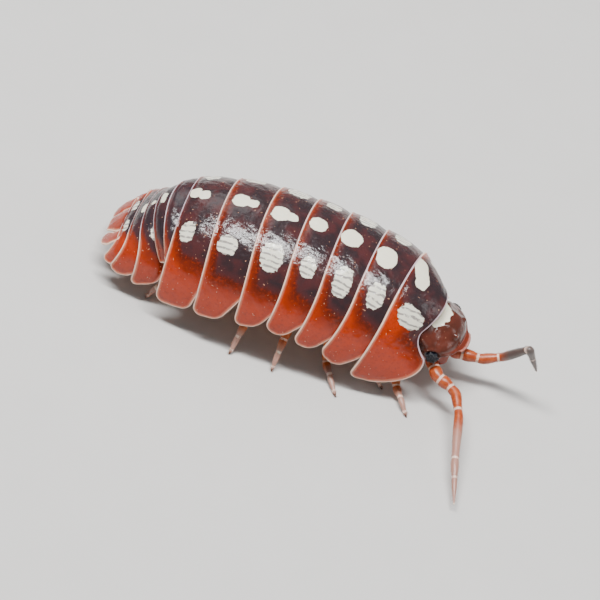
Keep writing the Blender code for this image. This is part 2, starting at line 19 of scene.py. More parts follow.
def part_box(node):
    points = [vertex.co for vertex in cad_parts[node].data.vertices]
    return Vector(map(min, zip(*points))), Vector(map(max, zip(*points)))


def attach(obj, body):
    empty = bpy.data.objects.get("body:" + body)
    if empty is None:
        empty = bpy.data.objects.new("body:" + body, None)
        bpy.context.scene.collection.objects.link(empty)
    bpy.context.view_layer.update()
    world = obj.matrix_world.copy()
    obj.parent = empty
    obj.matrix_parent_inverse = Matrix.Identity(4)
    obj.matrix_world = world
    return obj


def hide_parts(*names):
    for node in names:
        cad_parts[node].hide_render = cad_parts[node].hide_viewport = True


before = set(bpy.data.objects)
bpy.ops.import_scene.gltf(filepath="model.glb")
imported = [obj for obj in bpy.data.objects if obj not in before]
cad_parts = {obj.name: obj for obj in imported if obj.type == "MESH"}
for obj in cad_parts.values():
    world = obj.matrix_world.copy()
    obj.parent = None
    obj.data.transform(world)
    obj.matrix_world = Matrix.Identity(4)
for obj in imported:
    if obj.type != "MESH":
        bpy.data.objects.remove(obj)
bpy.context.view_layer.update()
MM = 0.001
print("nodes in the frame:", len(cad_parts))

# %% [markdown]
# ## Where the body stands
#
# All sizes below are in the body's own frame, in millimetres: X runs to the head, Y to the
# animal's left, Z up, and the fourth plate's hind edge stands over x = 0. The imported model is
# the same body moved so that its box is centred. The two eyes tell by how much: their centres
# are known in both frames.

# %% The body's frame
HEAD_CENTRE = np.array([7.20, -0.50, 2.55])
HEAD_TURN = 2.5
EYE_PLACE = (0.29, 1.66, -0.12)
SOLID_TURN, SOLID_EYE = 8.0, (0.27, 1.66, -0.15)     # the same two of the solids


def turned(points, tilt=0.0, turn=0.0):
    """Tilt points nose down about Y, then turn them to the animal's right about Z, in degrees."""
    pitch, yaw = math.radians(tilt), math.radians(turn)
    about_y = np.array([[math.cos(pitch), 0, math.sin(pitch)], [0, 1, 0],
                        [-math.sin(pitch), 0, math.cos(pitch)]])
    about_z = np.array([[math.cos(yaw), math.sin(yaw), 0], [-math.sin(yaw), math.cos(yaw), 0], [0, 0, 1]])
    return np.asarray(points, float) @ about_y.T @ about_z.T


def on_head(local):
    """Places on the head, given ahead, to the left and up from its centre."""
    return turned(local, 0.0, HEAD_TURN) + HEAD_CENTRE


def body_shift():
    """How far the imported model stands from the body's frame, from the centres of both eyes."""
    shift = np.zeros(3)
    for side, node in ((1, "eye_left"), (-1, "eye_right")):
        low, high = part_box(node)
        ahead, away, up = SOLID_EYE
        centre = turned((ahead, side * away, up), 0.0, SOLID_TURN) + HEAD_CENTRE
        shift += (np.array(low) + np.array(high)) / 2 - MM * centre
    return shift / 2


SHIFT = body_shift()
print("the body's frame is moved by (mm):", np.round(SHIFT / MM, 3))

# %% [markdown]
# ## From a grid of points to a mesh
#
# Every surface here is a grid: rows along one parameter, columns along the other. One function
# joins the grid's neighbours with four-cornered faces, closed round where the surface is a tube.
# A second one welds points that fall on the same place, so that poles and seams are closed, and
# puts whole arrays into the mesh at once. Values that a material needs, such as the distance to
# a plate's edge, ride along as attributes of the points.

# %% Grids, welding and pieces
def grid_faces(rows, columns, round_rows=False, round_columns=False):
    """Corners of the four-cornered faces between neighbours of a grid of points."""
    row = np.arange(rows if round_rows else rows - 1)
    column = np.arange(columns if round_columns else columns - 1)
    row, column = np.meshgrid(row, column, indexing="ij")
    below, right = (row + 1) % rows, (column + 1) % columns
    corners = (row * columns + column, row * columns + right, below * columns + right, below * columns + column)
    return np.stack([corner.ravel() for corner in corners], -1)


def joined(parts):
    """Several (points, faces, values) joined into one, with the faces' numbers moved along."""
    points, faces, values, count = [], [], [], 0
    for part_points, part_faces, part_values in parts:
        points.append(part_points.reshape(-1, 3))
        faces.append(part_faces + count)
        values.append(part_values)
        count += len(points[-1])
    names = values[0].keys()
    merged = {name: np.concatenate([np.ravel(value[name]) for value in values]) for name in names}
    return np.concatenate(points), np.concatenate(faces), merged


def make_piece(name, points, faces, finish, nodes, values=None):
    """One piece of the animal from arrays in millimetres, smooth, riding on the body."""
    points = np.asarray(points, float).reshape(-1, 3)
    places, first, same = np.unique(np.round(points, 5), axis=0, return_index=True, return_inverse=True)
    faces = same.ravel()[faces]
    keep = faces != np.roll(faces, -1, axis=1)
    keep[keep.sum(1) < 3] = False
    totals = keep.sum(1)
    corners = faces[keep]
    totals = totals[totals > 0]
    mesh = bpy.data.meshes.new(name)
    mesh.vertices.add(len(places))
    mesh.vertices.foreach_set("co", (points[first] * MM + SHIFT).ravel())
    mesh.loops.add(len(corners))
    mesh.loops.foreach_set("vertex_index", corners)
    mesh.polygons.add(len(totals))
    mesh.polygons.foreach_set("loop_start", np.concatenate([[0], np.cumsum(totals)[:-1]]))
    mesh.polygons.foreach_set("loop_total", totals)
    mesh.update(calc_edges=True)
    mesh.validate()
    mesh.shade_smooth()
    for key, value in (values or {}).items():
        layer = mesh.attributes.new(key, "FLOAT", "POINT")
        layer.data.foreach_set("value", np.ravel(value)[first].astype(np.float32))
    mesh.materials.append(finish)
    made = bpy.data.objects.new(name, mesh)
    bpy.context.scene.collection.objects.link(made)
    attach(made, "root")
    if nodes:
        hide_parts(*nodes)
    triangles = int((totals - 2).sum())
    print("%-16s %7d triangles" % (name, triangles))
    return made


def outward(points, faces):
    """The same faces, turned round if the closed surface's volume comes out negative.

    The volume is a sixth of the sum of triple products of the corners of every triangle.
    """
    corner = points.reshape(-1, 3)[faces]
    volume = 0.0
    for second, third in ((1, 2), (2, 3)):
        volume += np.einsum("ij,ij->", corner[:, 0], np.cross(corner[:, second], corner[:, third]))
    return faces if volume > 0 else faces[:, ::-1]


def unit(vectors):
    """Vectors of length one in the same directions."""
    return vectors / np.maximum(np.linalg.norm(vectors, axis=-1, keepdims=True), 1e-12)


# %% [markdown]
# ## Colours and nodes
#
# Colours are written as the hex values that a colour picker shows, which are sRGB, and one
# function makes them linear for the shader. A material is a small tree of nodes; one helper adds
# a node, sets it up and links its inputs, so a tree reads from top to bottom.

# %% Colours and the node helper
def linear(hex_colour):
    """The linear red, green and blue of an sRGB hex colour."""
    parts = [int(hex_colour[place:place + 2], 16) / 255 for place in (1, 3, 5)]
    return tuple(part / 12.92 if part <= 0.04045 else ((part + 0.055) / 1.055) ** 2.4 for part in parts)


def add(tree, kind, inputs=None, **settings):
    """Add one node; inputs are values, or (node, output) pairs to link, by socket name or number."""
    made = tree.nodes.new(kind)
    for key, value in settings.items():
        setattr(made, key, value)
    for key, value in (inputs or {}).items():
        socket = made.inputs[key]
        if isinstance(value, tuple) and len(value) == 2 and isinstance(value[0], bpy.types.Node):
            tree.links.new(value[0].outputs[value[1]], socket)
        elif isinstance(value, str):
            socket.default_value = (*linear(value), 1.0)
        else:
            socket.default_value = value
    return made


def blend_colours(tree, amount, low, high):
    """A mix of two colours, each a hex value or a linked node's output."""
    return (add(tree, "ShaderNodeMix", {0: amount, 6: low, 7: high}, data_type="RGBA"), 2)


def ramp(tree, value, start, end, smooth=True):
    """0 below start and 1 above end, eased between them; start may be the larger."""
    kind = "SMOOTHSTEP" if smooth else "LINEAR"
    return (add(tree, "ShaderNodeMapRange", {"Value": value, "From Min": start, "From Max": end},
                interpolation_type=kind), 0)


def maths(tree, operation, first, second=0.0):
    """One sum on two values or outputs."""
    return (add(tree, "ShaderNodeMath", {0: first, 1: second}, operation=operation), 0)


def grain(tree, size_mm, detail=3.0, rough=0.55):
    """A noise between 0 and 1 whose blobs are about this many millimetres across."""
    place = (add(tree, "ShaderNodeTexCoord"), "Object")
    return (add(tree, "ShaderNodeTexNoise", {"Vector": place, "Scale": 1 / (size_mm * MM), "Detail": detail,
                                             "Roughness": rough}), 0)


def attribute(tree, name):
    """A value that rides along with the points of a piece."""
    return (add(tree, "ShaderNodeAttribute", attribute_name=name), "Fac")


def new_finish(name):
    """An empty material and its tree."""
    made = bpy.data.materials.new(name)
    made.use_nodes = True
    made.node_tree.nodes.clear()
    return made, made.node_tree


def close_finish(tree, shader):
    """Put the shader on the surface."""
    add(tree, "ShaderNodeOutputMaterial", {"Surface": (shader, 0)})


# %% [markdown]
# ## The back as a chain of edges
#
# A woodlouse's back is twelve plates and a tail plate. Each plate is a band that crosses the
# back, and what the eye follows is its hind edge. So the back is described by those edges alone:
# where each crosses the midline, how wide and how high it arches, how it tilts, and how far its
# corners sweep back. A plate is then the sheet between its own hind edge and the one ahead. The
# same sizes shaped the solids, so the thin plates made here lie in the solids' place.

# %% The hind edges
BACK_HEIGHT = 5.8
Margin = namedtuple("Margin", "name length slope tilt half arch sweep hang skirt vee reach turn")
BACK = (
    Margin("front", 0.0, 0.0, 13.5, 2.48, 2.94, 0.0, 0.0, 0.0, 1.0, 1.0, -3.9),
    Margin("pereonite_1", 2.22, 25.0, 2.0, 3.58, 4.05, 0.58, 0.32, 1.30, 0.76, 1.0, 7.0),
    Margin("pereonite_2", 1.84, 7.0, 0.5, 3.72, 3.62, 0.68, 0.07, 0.95, 0.71, 1.0, 2.5),
    Margin("pereonite_3", 1.77, 7.0, -2.0, 3.80, 3.56, 0.56, 0.14, 0.92, 0.71, 1.0, 0.0),
    Margin("pereonite_4", 1.67, 3.0, -6.0, 3.82, 3.56, 0.52, -0.04, 0.85, 0.72, 1.0, 0.0),
    Margin("pereonite_5", 1.82, -2.0, -9.0, 3.82, 3.55, 0.38, 0.34, 1.14, 0.74, 1.0, 0.0),
    Margin("pereonite_6", 1.99, -8.0, -8.0, 3.68, 3.56, 0.33, 0.42, 1.27, 0.67, 1.0, 0.0),
    Margin("pereonite_7", 1.85, -20.0, -5.0, 3.38, 3.25, 0.21, 0.38, 1.62, 0.61, 1.0, 0.0),
    Margin("pleonite_1", 0.80, -19.0, -28.0, 2.89, 3.10, 0.0, 0.0, 0.0, 1.0, 0.66, 0.0),
    Margin("pleonite_2", 0.80, -47.0, -38.0, 2.54, 2.98, 0.12, 0.0, 0.0, 1.0, 0.74, 0.0),
    Margin("pleonite_3", 0.72, -54.0, -39.0, 2.70, 1.78, 1.22, 0.42, 1.25, 0.50, 1.0, 0.0),
    Margin("pleonite_4", 0.78, -57.0, -40.0, 2.39, 0.50, 1.15, 0.42, 0.64, 0.80, 1.0, 0.0),
    Margin("pleonite_5", 0.66, -50.0, -49.0, 1.88, 0.18, 0.95, 0.22, 0.62, 0.70, 1.0, 0.0),
)
LEVEL_PLATE = 4
CORNER_START = 0.45
NECK = 1
NECK_DIP, NECK_HORN, NECK_HORN_START, NECK_SIDE = 2.08, 16.3, 0.47, -0.31
TAIL_SIDE = (0.0,) * 8 + (-0.03, -0.06, -0.10, -0.13, -0.15)
SKIRT_SLANT = 1.2


def edge_tops():
    """Where each hind edge crosses the midline, walking back from the front one.

    Each step is one plate's length down its slope; the level plate then stands over x = 0.
    """
    slope = np.radians([row.slope for row in BACK])
    length = np.array([row.length for row in BACK])
    tops = np.cumsum(np.stack([-length * np.cos(slope), 0 * slope, length * np.sin(slope)], -1), axis=0)
    tops += np.array([0.0, 0.0, BACK_HEIGHT]) - tops[LEVEL_PLATE]
    tops[:, 1] = TAIL_SIDE
    tops[0, 1] = NECK_SIDE
    tops[1, 1] = NECK_SIDE / 2
    return tops


TOPS = edge_tops()


def hind_edge(number, across):
    """Points on a hind edge, from -1 at the left skirt to 1 at the right.

    The edge is half an ellipse. Past CORNER_START its corners sweep back and hang down as a
    square. The first plate's front edge dips back beside the head and comes forward at its horns.
    """
    row = BACK[number]
    angle = across * math.pi / 2
    past = np.clip((np.abs(across) - CORNER_START) / (1 - CORNER_START), 0, None)
    back = -row.sweep * past ** 2
    if number == 0:
        back = -NECK_DIP * across ** 2 + NECK_HORN * np.clip(np.abs(across) - NECK_HORN_START, 0, None) ** 2
    down = row.arch * (np.cos(angle) - 1) - row.hang * past ** 2
    return turned(np.stack([back, -row.half * np.sin(angle), down], -1), row.tilt, row.turn) + TOPS[number]


# %% [markdown]
# ## Thin plates that lap
#
# A real plate is a sheet of chitin well under a tenth of a millimetre thick at its edge. Its hind
# edge overhangs the next plate, whose front runs on below it, and at the sides it ends in a free
# skirt with rounded corners. One could cut such a plate from a dome with Booleans; here it is a
# grid instead, across the back by forward from the hind edge, which makes every distance that the
# colours need, such as how far a point is from the free edge, a by-product.

# %% Plate sizes
PLATE_THICK = 0.075        # at its free edge
STEP = 0.11                # the front of a plate lies this much lower than its hind edge
OVERLAP = 0.34             # and runs on under the plate ahead by this much
HIND_ROUND, FORE_ROUND = 0.42, 0.32      # radii of a skirt's corners
SMALL_SKIRT, SMALL_ROUND = 0.80, 0.26    # and of the corners of short skirts
BEAD, BEAD_WIDE = 0.012, 0.05
GROOVE, GROOVE_AT, GROOVE_WIDE = 0.016, 0.15, 0.06
STATIONS, ALONG = 241, 31
SMALL_PLATES = 8           # the number of the first of the five small hind plates
SMALL = 0.004

Span = namedtuple("Span", "across rear front length ahead normal run slant_rear slant_front")


def edge_direction(number, across):
    """Direction of a hind edge at each station, from the left skirt to the right one."""
    return unit(hind_edge(number, across + SMALL) - hind_edge(number, across - SMALL))


def plate_span(number):
    """All that depends on the station alone: where the plate starts and ends, and which way is out.

    Stations crowd toward the skirts as a sine. A skirt's corners are arcs: near the bottom edge
    the plate draws in by r - sqrt(r^2 - (r - d)^2), with d the distance to that edge.
    """
    row = BACK[number]
    across = row.reach * np.sin(np.linspace(-1, 1, STATIONS) * math.pi / 2)
    rear, front = hind_edge(number, across), hind_edge(number - 1, across)
    length = np.linalg.norm(front - rear, axis=-1)
    ahead = (front - rear) / length[:, None]
    normal = unit(np.cross(ahead, -edge_direction(number, across)))
    middle = rear + ahead * (0.4 * row.length)
    run = np.concatenate([[0], np.cumsum(np.linalg.norm(np.diff(middle, axis=0), axis=1))])
    run -= np.interp(0, across, run)
    slant_rear = np.linalg.norm(np.cross(edge_direction(number, across), ahead), axis=-1)
    slant_front = np.linalg.norm(np.cross(edge_direction(number - 1, across), ahead), axis=-1)
    lower = np.clip((np.abs(across) - row.vee) / (1.001 - row.vee), 0, 1)
    start, end = np.zeros_like(length), length.copy()
    if row.skirt:
        end = end - np.clip(end - row.skirt, 0, None) * lower ** SKIRT_SLANT
        below = run[-1] - np.abs(run)
        small = row.skirt < SMALL_SKIRT
        start = start + corner_inset(below, SMALL_ROUND if small else HIND_ROUND)
        end = end - corner_inset(below, SMALL_ROUND if small else FORE_ROUND)
    if number != NECK:
        end = end + OVERLAP * (1 - lower)
    return Span(across, start, end, length, ahead, normal, run, slant_rear, slant_front)


def corner_inset(below, radius):
    """How far a rounded corner draws in, at a distance above the bottom edge."""
    inside = np.clip(radius - below, 0, radius)
    return radius - np.sqrt(radius ** 2 - inside ** 2)


def plate_face(number, span, forward):
    """Points of a plate's outer face, forward mm ahead of the hind edge (stations by columns).

    The face bulges as a parabola between its two edges and sinks by STEP toward the front one.
    """
    part = forward / span.length[:, None]
    height = 0.14 * BACK[number].length * part * (1 - part) - STEP * part ** 2
    rear = hind_edge(number, span.across)
    return rear[:, None] + span.ahead[:, None] * forward[..., None] + span.normal[:, None] * height[..., None]


def edge_distance(span, forward):
    """Distance in mm to the nearest free edge: hind, bottom or front.

    Across a slanting edge the distance is the forward one times the sine of the slant, divided
    by the edge's own steepness.
    """
    def square_to(edge, slant):
        steep = np.gradient(edge, span.run)
        return (slant / np.sqrt(1 + steep ** 2))[:, None]

    hind = (forward - span.rear[:, None]) * square_to(span.rear, span.slant_rear)
    fore = (span.front[:, None] - forward) * square_to(span.front, span.slant_front)
    bottom = (span.run[-1] - np.abs(span.run))[:, None]
    return np.minimum(np.minimum(hind, fore), bottom + 0 * forward)


# %% [markdown]
# ## Where the markings lie
#
# The markings were measured on the photograph through the camera found for it, and laid on the
# plates as distances: from the midline along the plate, and forward of its hind edge. A cream
# spot is one or two rounded lobes. Each field is a signed distance in millimetres, positive
# inside, so that the material can draw an edge as sharp or as ragged as it likes without the
# grid showing.

# %% Spots and the dark saddle
Lobe = namedtuple("Lobe", "away ahead half_across half_ahead lean")
MIDLINE_SPOTS = {
    1: [Lobe(-0.30, 0.46, 0.80, 0.36, 30), Lobe(0.20, 0.74, 0.40, 0.34, 0)],
    2: [Lobe(0.06, 0.60, 0.64, 0.50, 8)],
    3: [Lobe(-0.08, 0.56, 0.52, 0.50, -8)],
    4: [Lobe(-0.08, 0.60, 0.42, 0.42, 0)],
    5: [Lobe(0.08, 0.62, 0.44, 0.42, 0), Lobe(0.05, 1.16, 0.24, 0.30, 0)],
    6: [Lobe(-0.08, 0.70, 0.40, 0.40, 0), Lobe(-0.08, 1.20, 0.26, 0.32, 0)],
    7: [Lobe(-0.20, 0.32, 0.36, 0.28, 0), Lobe(-0.10, 0.78, 0.30, 0.28, 0)],
    9: [Lobe(0.02, 0.36, 0.36, 0.17, 0)],
    10: [Lobe(0.00, 0.44, 0.12, 0.15, 0)],
    11: [Lobe(0.00, 0.60, 0.30, 0.20, 0)],
}
SIDE_SPOTS = {
    1: [Lobe(2.00, 1.08, 0.50, 0.72, -20)],
    2: [Lobe(2.06, 0.86, 0.62, 0.42, 0)],
    3: [Lobe(2.20, 0.88, 0.74, 0.44, 0)],
    4: [Lobe(2.22, 0.82, 0.52, 0.36, 0)],
    5: [Lobe(2.34, 0.88, 0.68, 0.52, 0)],
    6: [Lobe(2.36, 0.78, 0.44, 0.46, 0)],
    7: [Lobe(2.02, 0.64, 0.48, 0.36, 0)],
    10: [Lobe(1.78, 0.72, 0.36, 0.20, 0)],
    12: [Lobe(0.66, 0.30, 0.34, 0.15, 0)],
}
# How far down each side the dark saddle reaches at the hind edge, how much further for each mm
# forward, and the width of the red band behind it at the midline
Saddle = namedtuple("Saddle", "reach forward band")
SADDLES = {
    1: Saddle(1.70, 0.80, 0.12), 2: Saddle(3.00, 0.25, 0.20), 3: Saddle(3.30, 0.28, 0.24),
    4: Saddle(3.25, 0.28, 0.30), 5: Saddle(3.62, 0.15, 0.34), 6: Saddle(3.60, 0.12, 0.32),
    7: Saddle(2.80, 0.25, 0.05), 8: Saddle(2.90, 0.0, 0.04), 9: Saddle(2.80, 0.0, 0.04),
    10: Saddle(2.45, 0.30, 0.05), 11: Saddle(1.70, 0.20, 0.06), 12: Saddle(1.20, 0.10, 0.08),
}


def lobe_distance(lobes, away, ahead):
    """Signed distance to the nearest of some rounded lobes, about right near their edges."""
    nearest = np.full(np.shape(away), -9.0)
    for lobe in lobes:
        lean = math.radians(lobe.lean)
        x = (away - lobe.away) * math.cos(lean) + (ahead - lobe.ahead) * math.sin(lean)
        y = (ahead - lobe.ahead) * math.cos(lean) - (away - lobe.away) * math.sin(lean)
        size = (np.abs(x / lobe.half_across) ** 2.4 + np.abs(y / lobe.half_ahead) ** 2.4) ** (1 / 2.4)
        nearest = np.maximum(nearest, (1 - size) * min(lobe.half_across, lobe.half_ahead))
    return nearest


def saddle_distance(number, away, ahead):
    """Signed distance to the edge of the dark saddle.

    It ends below where the sides redden and behind at a red band, which widens down the sides.
    """
    saddle = SADDLES[number]
    reach = saddle.reach + saddle.forward * ahead
    below = reach - np.abs(away)
    band = saddle.band + (0.60 - saddle.band) * np.clip(np.abs(away) / saddle.reach, 0, 1.4) ** 3
    return np.minimum(below, (ahead - band) * 1.6)


def plate_values(number, away, ahead, edge, under):
    """The attributes of one plate's points."""
    return {"away": away, "ahead": ahead, "edge": edge, "under": under,
            "mid_spot": lobe_distance(MIDLINE_SPOTS.get(number, []), away, ahead),
            "side_spot": lobe_distance(SIDE_SPOTS.get(number, []), np.abs(away), ahead),
            "saddle": saddle_distance(number, away, ahead)}


# %% [markdown]
# ## Cuticle: polished chitin with pigment under it
#
# The shell is calcified chitin, a glossy layer over pigment. It was never machined: its gloss
# breaks up into sparks, because the surface carries scales a few hundredths of a millimetre wide.
# So the material is a dielectric of refractive index 1.56 with a middling roughness and two
# bumps, one at the scales' size and one that dents the plate gently. The pigment is mixed in
# the order in which it lies: red chitin, the dark saddle over it, cream spots, and the pale
# translucent rim where the plate is too thin to hold pigment. On the skirts a wider pale band
# beside that rim is partly thin chitin with little pigment and partly a painted glow of light
# shining through it.

# %% The shell's material
SCALE_SIZE = 0.045         # mm, the scales of the surface
DENT_SIZE = 0.28


def scaly_bump(tree, fine, coarse):
    """A normal from two grains: the scales, and gentle dents."""
    scales = add(tree, "ShaderNodeBump", {"Height": grain(tree, SCALE_SIZE, 2.0), "Strength": fine,
                                          "Distance": SCALE_SIZE * MM * 0.30})
    return (add(tree, "ShaderNodeBump", {"Height": grain(tree, DENT_SIZE, 2.0), "Strength": coarse,
                                         "Distance": DENT_SIZE * MM * 0.08, "Normal": (scales, 0)}), 0)


def nudge(tree, value, size_mm, amount, detail=3.0):
    """A distance made ragged: noise of the given size moves it by up to about this many mm."""
    noise = maths(tree, "SUBTRACT", grain(tree, size_mm, detail), 0.5)
    return maths(tree, "ADD", value, maths(tree, "MULTIPLY", noise, 2.4 * amount))


def shell_finish(name, dark, maroon, red, orange, rim):
    """Glossy shell in these pigments: two darks of the saddle, red behind it, orange skirt, rim."""
    made, tree = new_finish(name)
    edge, saddle = attribute(tree, "edge"), attribute(tree, "saddle")
    skirt = blend_colours(tree, ramp(tree, nudge(tree, saddle, 0.5, 0.30), -0.05, -1.35), red, orange)
    skirt = blend_colours(tree, ramp(tree, grain(tree, 0.13), 0.46, 0.76), skirt, "#8e2804")
    saddle_dark = blend_colours(tree, ramp(tree, grain(tree, 0.9, 2.0), 0.40, 0.66), dark, maroon)
    saddle_dark = blend_colours(tree, ramp(tree, saddle, 0.42, 0.02), saddle_dark, maroon)
    dark_amount = ramp(tree, nudge(tree, saddle, 0.34, 0.15), -0.22, 0.12)
    colour = blend_colours(tree, dark_amount, skirt, saddle_dark)
    fleck = ramp(tree, grain(tree, 0.10, 0.0), 0.80, 0.82)
    colour = blend_colours(tree, maths(tree, "MULTIPLY", fleck, 0.6), colour, "#d29a7a")

    stripes = add(tree, "ShaderNodeTexWave", {
        "Vector": (add(tree, "ShaderNodeCombineXYZ", {0: attribute(tree, "away"), 1: attribute(tree, "ahead")}), 0),
        "Scale": 1.0 / 0.90, "Distortion": 4.5, "Detail": 2.0, "Detail Scale": 1.1}, bands_direction="X")
    broken = maths(tree, "MULTIPLY", ramp(tree, (stripes, 1), 0.46, 0.14), ramp(tree, grain(tree, 0.20), 0.34, 0.50))
    striped = blend_colours(tree, maths(tree, "MULTIPLY", broken, 0.85), "#e9e4d2", "#7f7977")
    side = ramp(tree, nudge(tree, attribute(tree, "side_spot"), 0.17, 0.12), -0.010, 0.014)
    colour = blend_colours(tree, side, colour, striped)
    mid = ramp(tree, nudge(tree, attribute(tree, "mid_spot"), 0.30, 0.080), -0.010, 0.014)
    colour = blend_colours(tree, mid, colour, "#efe9d3")

    on_skirt = ramp(tree, saddle, -0.15, -0.80)
    # The pale band along the skirts' edges: thin chitin with little pigment, and a painted glow of light shining
    # through it.
    thin_edge_and_painted_glow = maths(tree, "MULTIPLY", ramp(tree, nudge(tree, edge, 0.25, 0.02), 0.16, 0.03), on_skirt)
    colour = blend_colours(tree, maths(tree, "MULTIPLY", thin_edge_and_painted_glow, 0.62), colour, "#d98f70")
    line = ramp(tree, nudge(tree, edge, 0.2, 0.006), 0.040, 0.018)
    colour = blend_colours(tree, line, colour, blend_colours(tree, on_skirt, rim, "#f0cdb8"))
    colour = blend_colours(tree, attribute(tree, "under"), colour, "#c99d88")

    rough = add(tree, "ShaderNodeMapRange", {"Value": grain(tree, 0.14), "From Min": 0.32, "From Max": 0.68,
                                             "To Min": 0.08, "To Max": 0.25})
    shader = add(tree, "ShaderNodeBsdfPrincipled", {
        "Base Color": colour, "Roughness": (rough, 0), "IOR": 1.47, "Subsurface Weight": 0.10,
        "Subsurface Radius": (0.6, 0.25, 0.15), "Subsurface Scale": 0.22 * MM,
        "Normal": scaly_bump(tree, 0.40, 1.35)})
    close_finish(tree, shader)
    return made


SHELL = shell_finish("polished_chitin", "#2f2225", "#482526", "#541a0a", "#ab2f02", "#c4adb6")
TAIL_SHELL = shell_finish("polished_tail_chitin", "#2d2328", "#402629", "#722816", "#a3300f", "#d0bcc3")
HEAD_SHELL = shell_finish("head_chitin", "#48231a", "#5a2a1f", "#7a2c18", "#9c3a1c", "#b8776a")


# %% Make the twelve plates
def make_plate(number):
    """A closed thin sheet: outer face, rounded hind edge, inner face, rounded front and skirts."""
    span = plate_span(number)
    radius = PLATE_THICK / 2
    along = np.linspace(0, 1, ALONG) ** 1.25
    bend = np.radians([30, 60, 90, 120, 150])
    outer = span.rear[:, None] + (span.front - span.rear)[:, None] * along[::-1]
    forward = np.hstack([outer, span.rear[:, None] - radius * np.sin(bend), outer[:, ::-1],
                         span.front[:, None] + radius * np.sin(bend)])
    depth = np.concatenate([np.zeros(ALONG), 1 - np.cos(bend), np.full(ALONG, 2.0), 1 + np.cos(bend)])
    edge = edge_distance(span, forward)
    faces_out = depth < 0.5
    relief = BEAD * np.exp(-(edge / BEAD_WIDE) ** 2) - GROOVE * np.exp(-((edge - GROOVE_AT) / GROOVE_WIDE) ** 2)
    away = span.run[:, None] + 0 * forward
    relief = relief + 0.006 * np.sin(away * 7.3 + forward * 3.1 + number) * np.sin(forward * 8.7 - away * 2.3)
    face = plate_face(number, span, forward)
    down = unit(np.stack([face[0] - face[1], face[-1] - face[-2]]))

    def rings(cosine):
        """All rings with the sheet's thickness drawn in toward its middle by this cosine."""
        sink = radius * (1 + (depth - 1) * cosine)
        return face + span.normal[:, None] * (relief * faces_out * cosine - sink)[..., None]

    whole = rings(1.0)
    caps = []
    for turn in np.radians([30, 60, 90]):
        drawn = rings(math.cos(turn))
        caps.append((drawn[0] + down[0] * radius * math.sin(turn), drawn[-1] + down[1] * radius * math.sin(turn)))
    grid = np.concatenate([[left for left, right in caps[::-1]], whole, [right for left, right in caps]])
    row = np.concatenate([[0] * len(caps), np.arange(STATIONS), [STATIONS - 1] * len(caps)])
    faces = outward(grid, grid_faces(len(row), len(depth), round_columns=True))
    under = np.clip(depth - 1, 0, 1)[None] + 0 * forward
    values = {key: value[row] for key, value in plate_values(number, away, forward, edge, under).items()}
    name = BACK[number].name
    return make_piece(name + "_shell", grid, faces, SHELL if number < SMALL_PLATES else TAIL_SHELL,
                      [name], values)


for plate_number in range(1, len(BACK)):
    make_plate(plate_number)

# %% [markdown]
# ## The head
#
# The head is a broad dome, wider than long, set into the first plate's hollow. Its front carries
# a raised line from eye to eye and, below the middle of that line, a three-cornered shield; the
# feelers leave from sockets under a lobe on each side, and the lip closes the face below. A
# dome is star-shaped seen from its middle, so it is made as one: for each direction a radius
# from a rounded box, then small heights for every feature, worked out from the place reached.

# %% The head's skin
HEAD_FRONT, HEAD_REAR, HEAD_HALF, HEAD_TOP, HEAD_BOTTOM = 1.12, 1.22, 1.66, 1.05, 1.15
HEAD_MIDDLE = 0.14         # the dome's middle, ahead of the head's centre
HEAD_BOXY = 2.05
HEAD_ROUND, HEAD_RISE = 280, 200
BROW_HEIGHT, BROW_FALL = -0.14, -0.10    # height of the line from eye to eye, and its fall at 1.3 mm
SHIELD_HALF, SHIELD_LOW = 0.66, -0.86
LOBE_PLACE = (0.80, 1.10, -0.60)
PATCH_AHEAD, PATCH_HALF = 0.47, 0.86     # the cream patch at the nape


def hill(distance, width):
    """A smooth hill of height one: the bell curve of a distance."""
    return np.exp(-(distance / width) ** 2)


def ease(value, start, end):
    """0 before start, 1 past end, eased between them."""
    part = np.clip((value - start) / (end - start), 0, 1)
    return part * part * (3 - 2 * part)


def shield_distance(y, z):
    """Signed distance inside the frontal shield, a triangle that stands on its point."""
    top = BROW_HEIGHT + 0.04
    half = SHIELD_HALF * (z - SHIELD_LOW) / (top - SHIELD_LOW)
    return np.minimum((half - np.abs(y)) * 0.87, top - z)


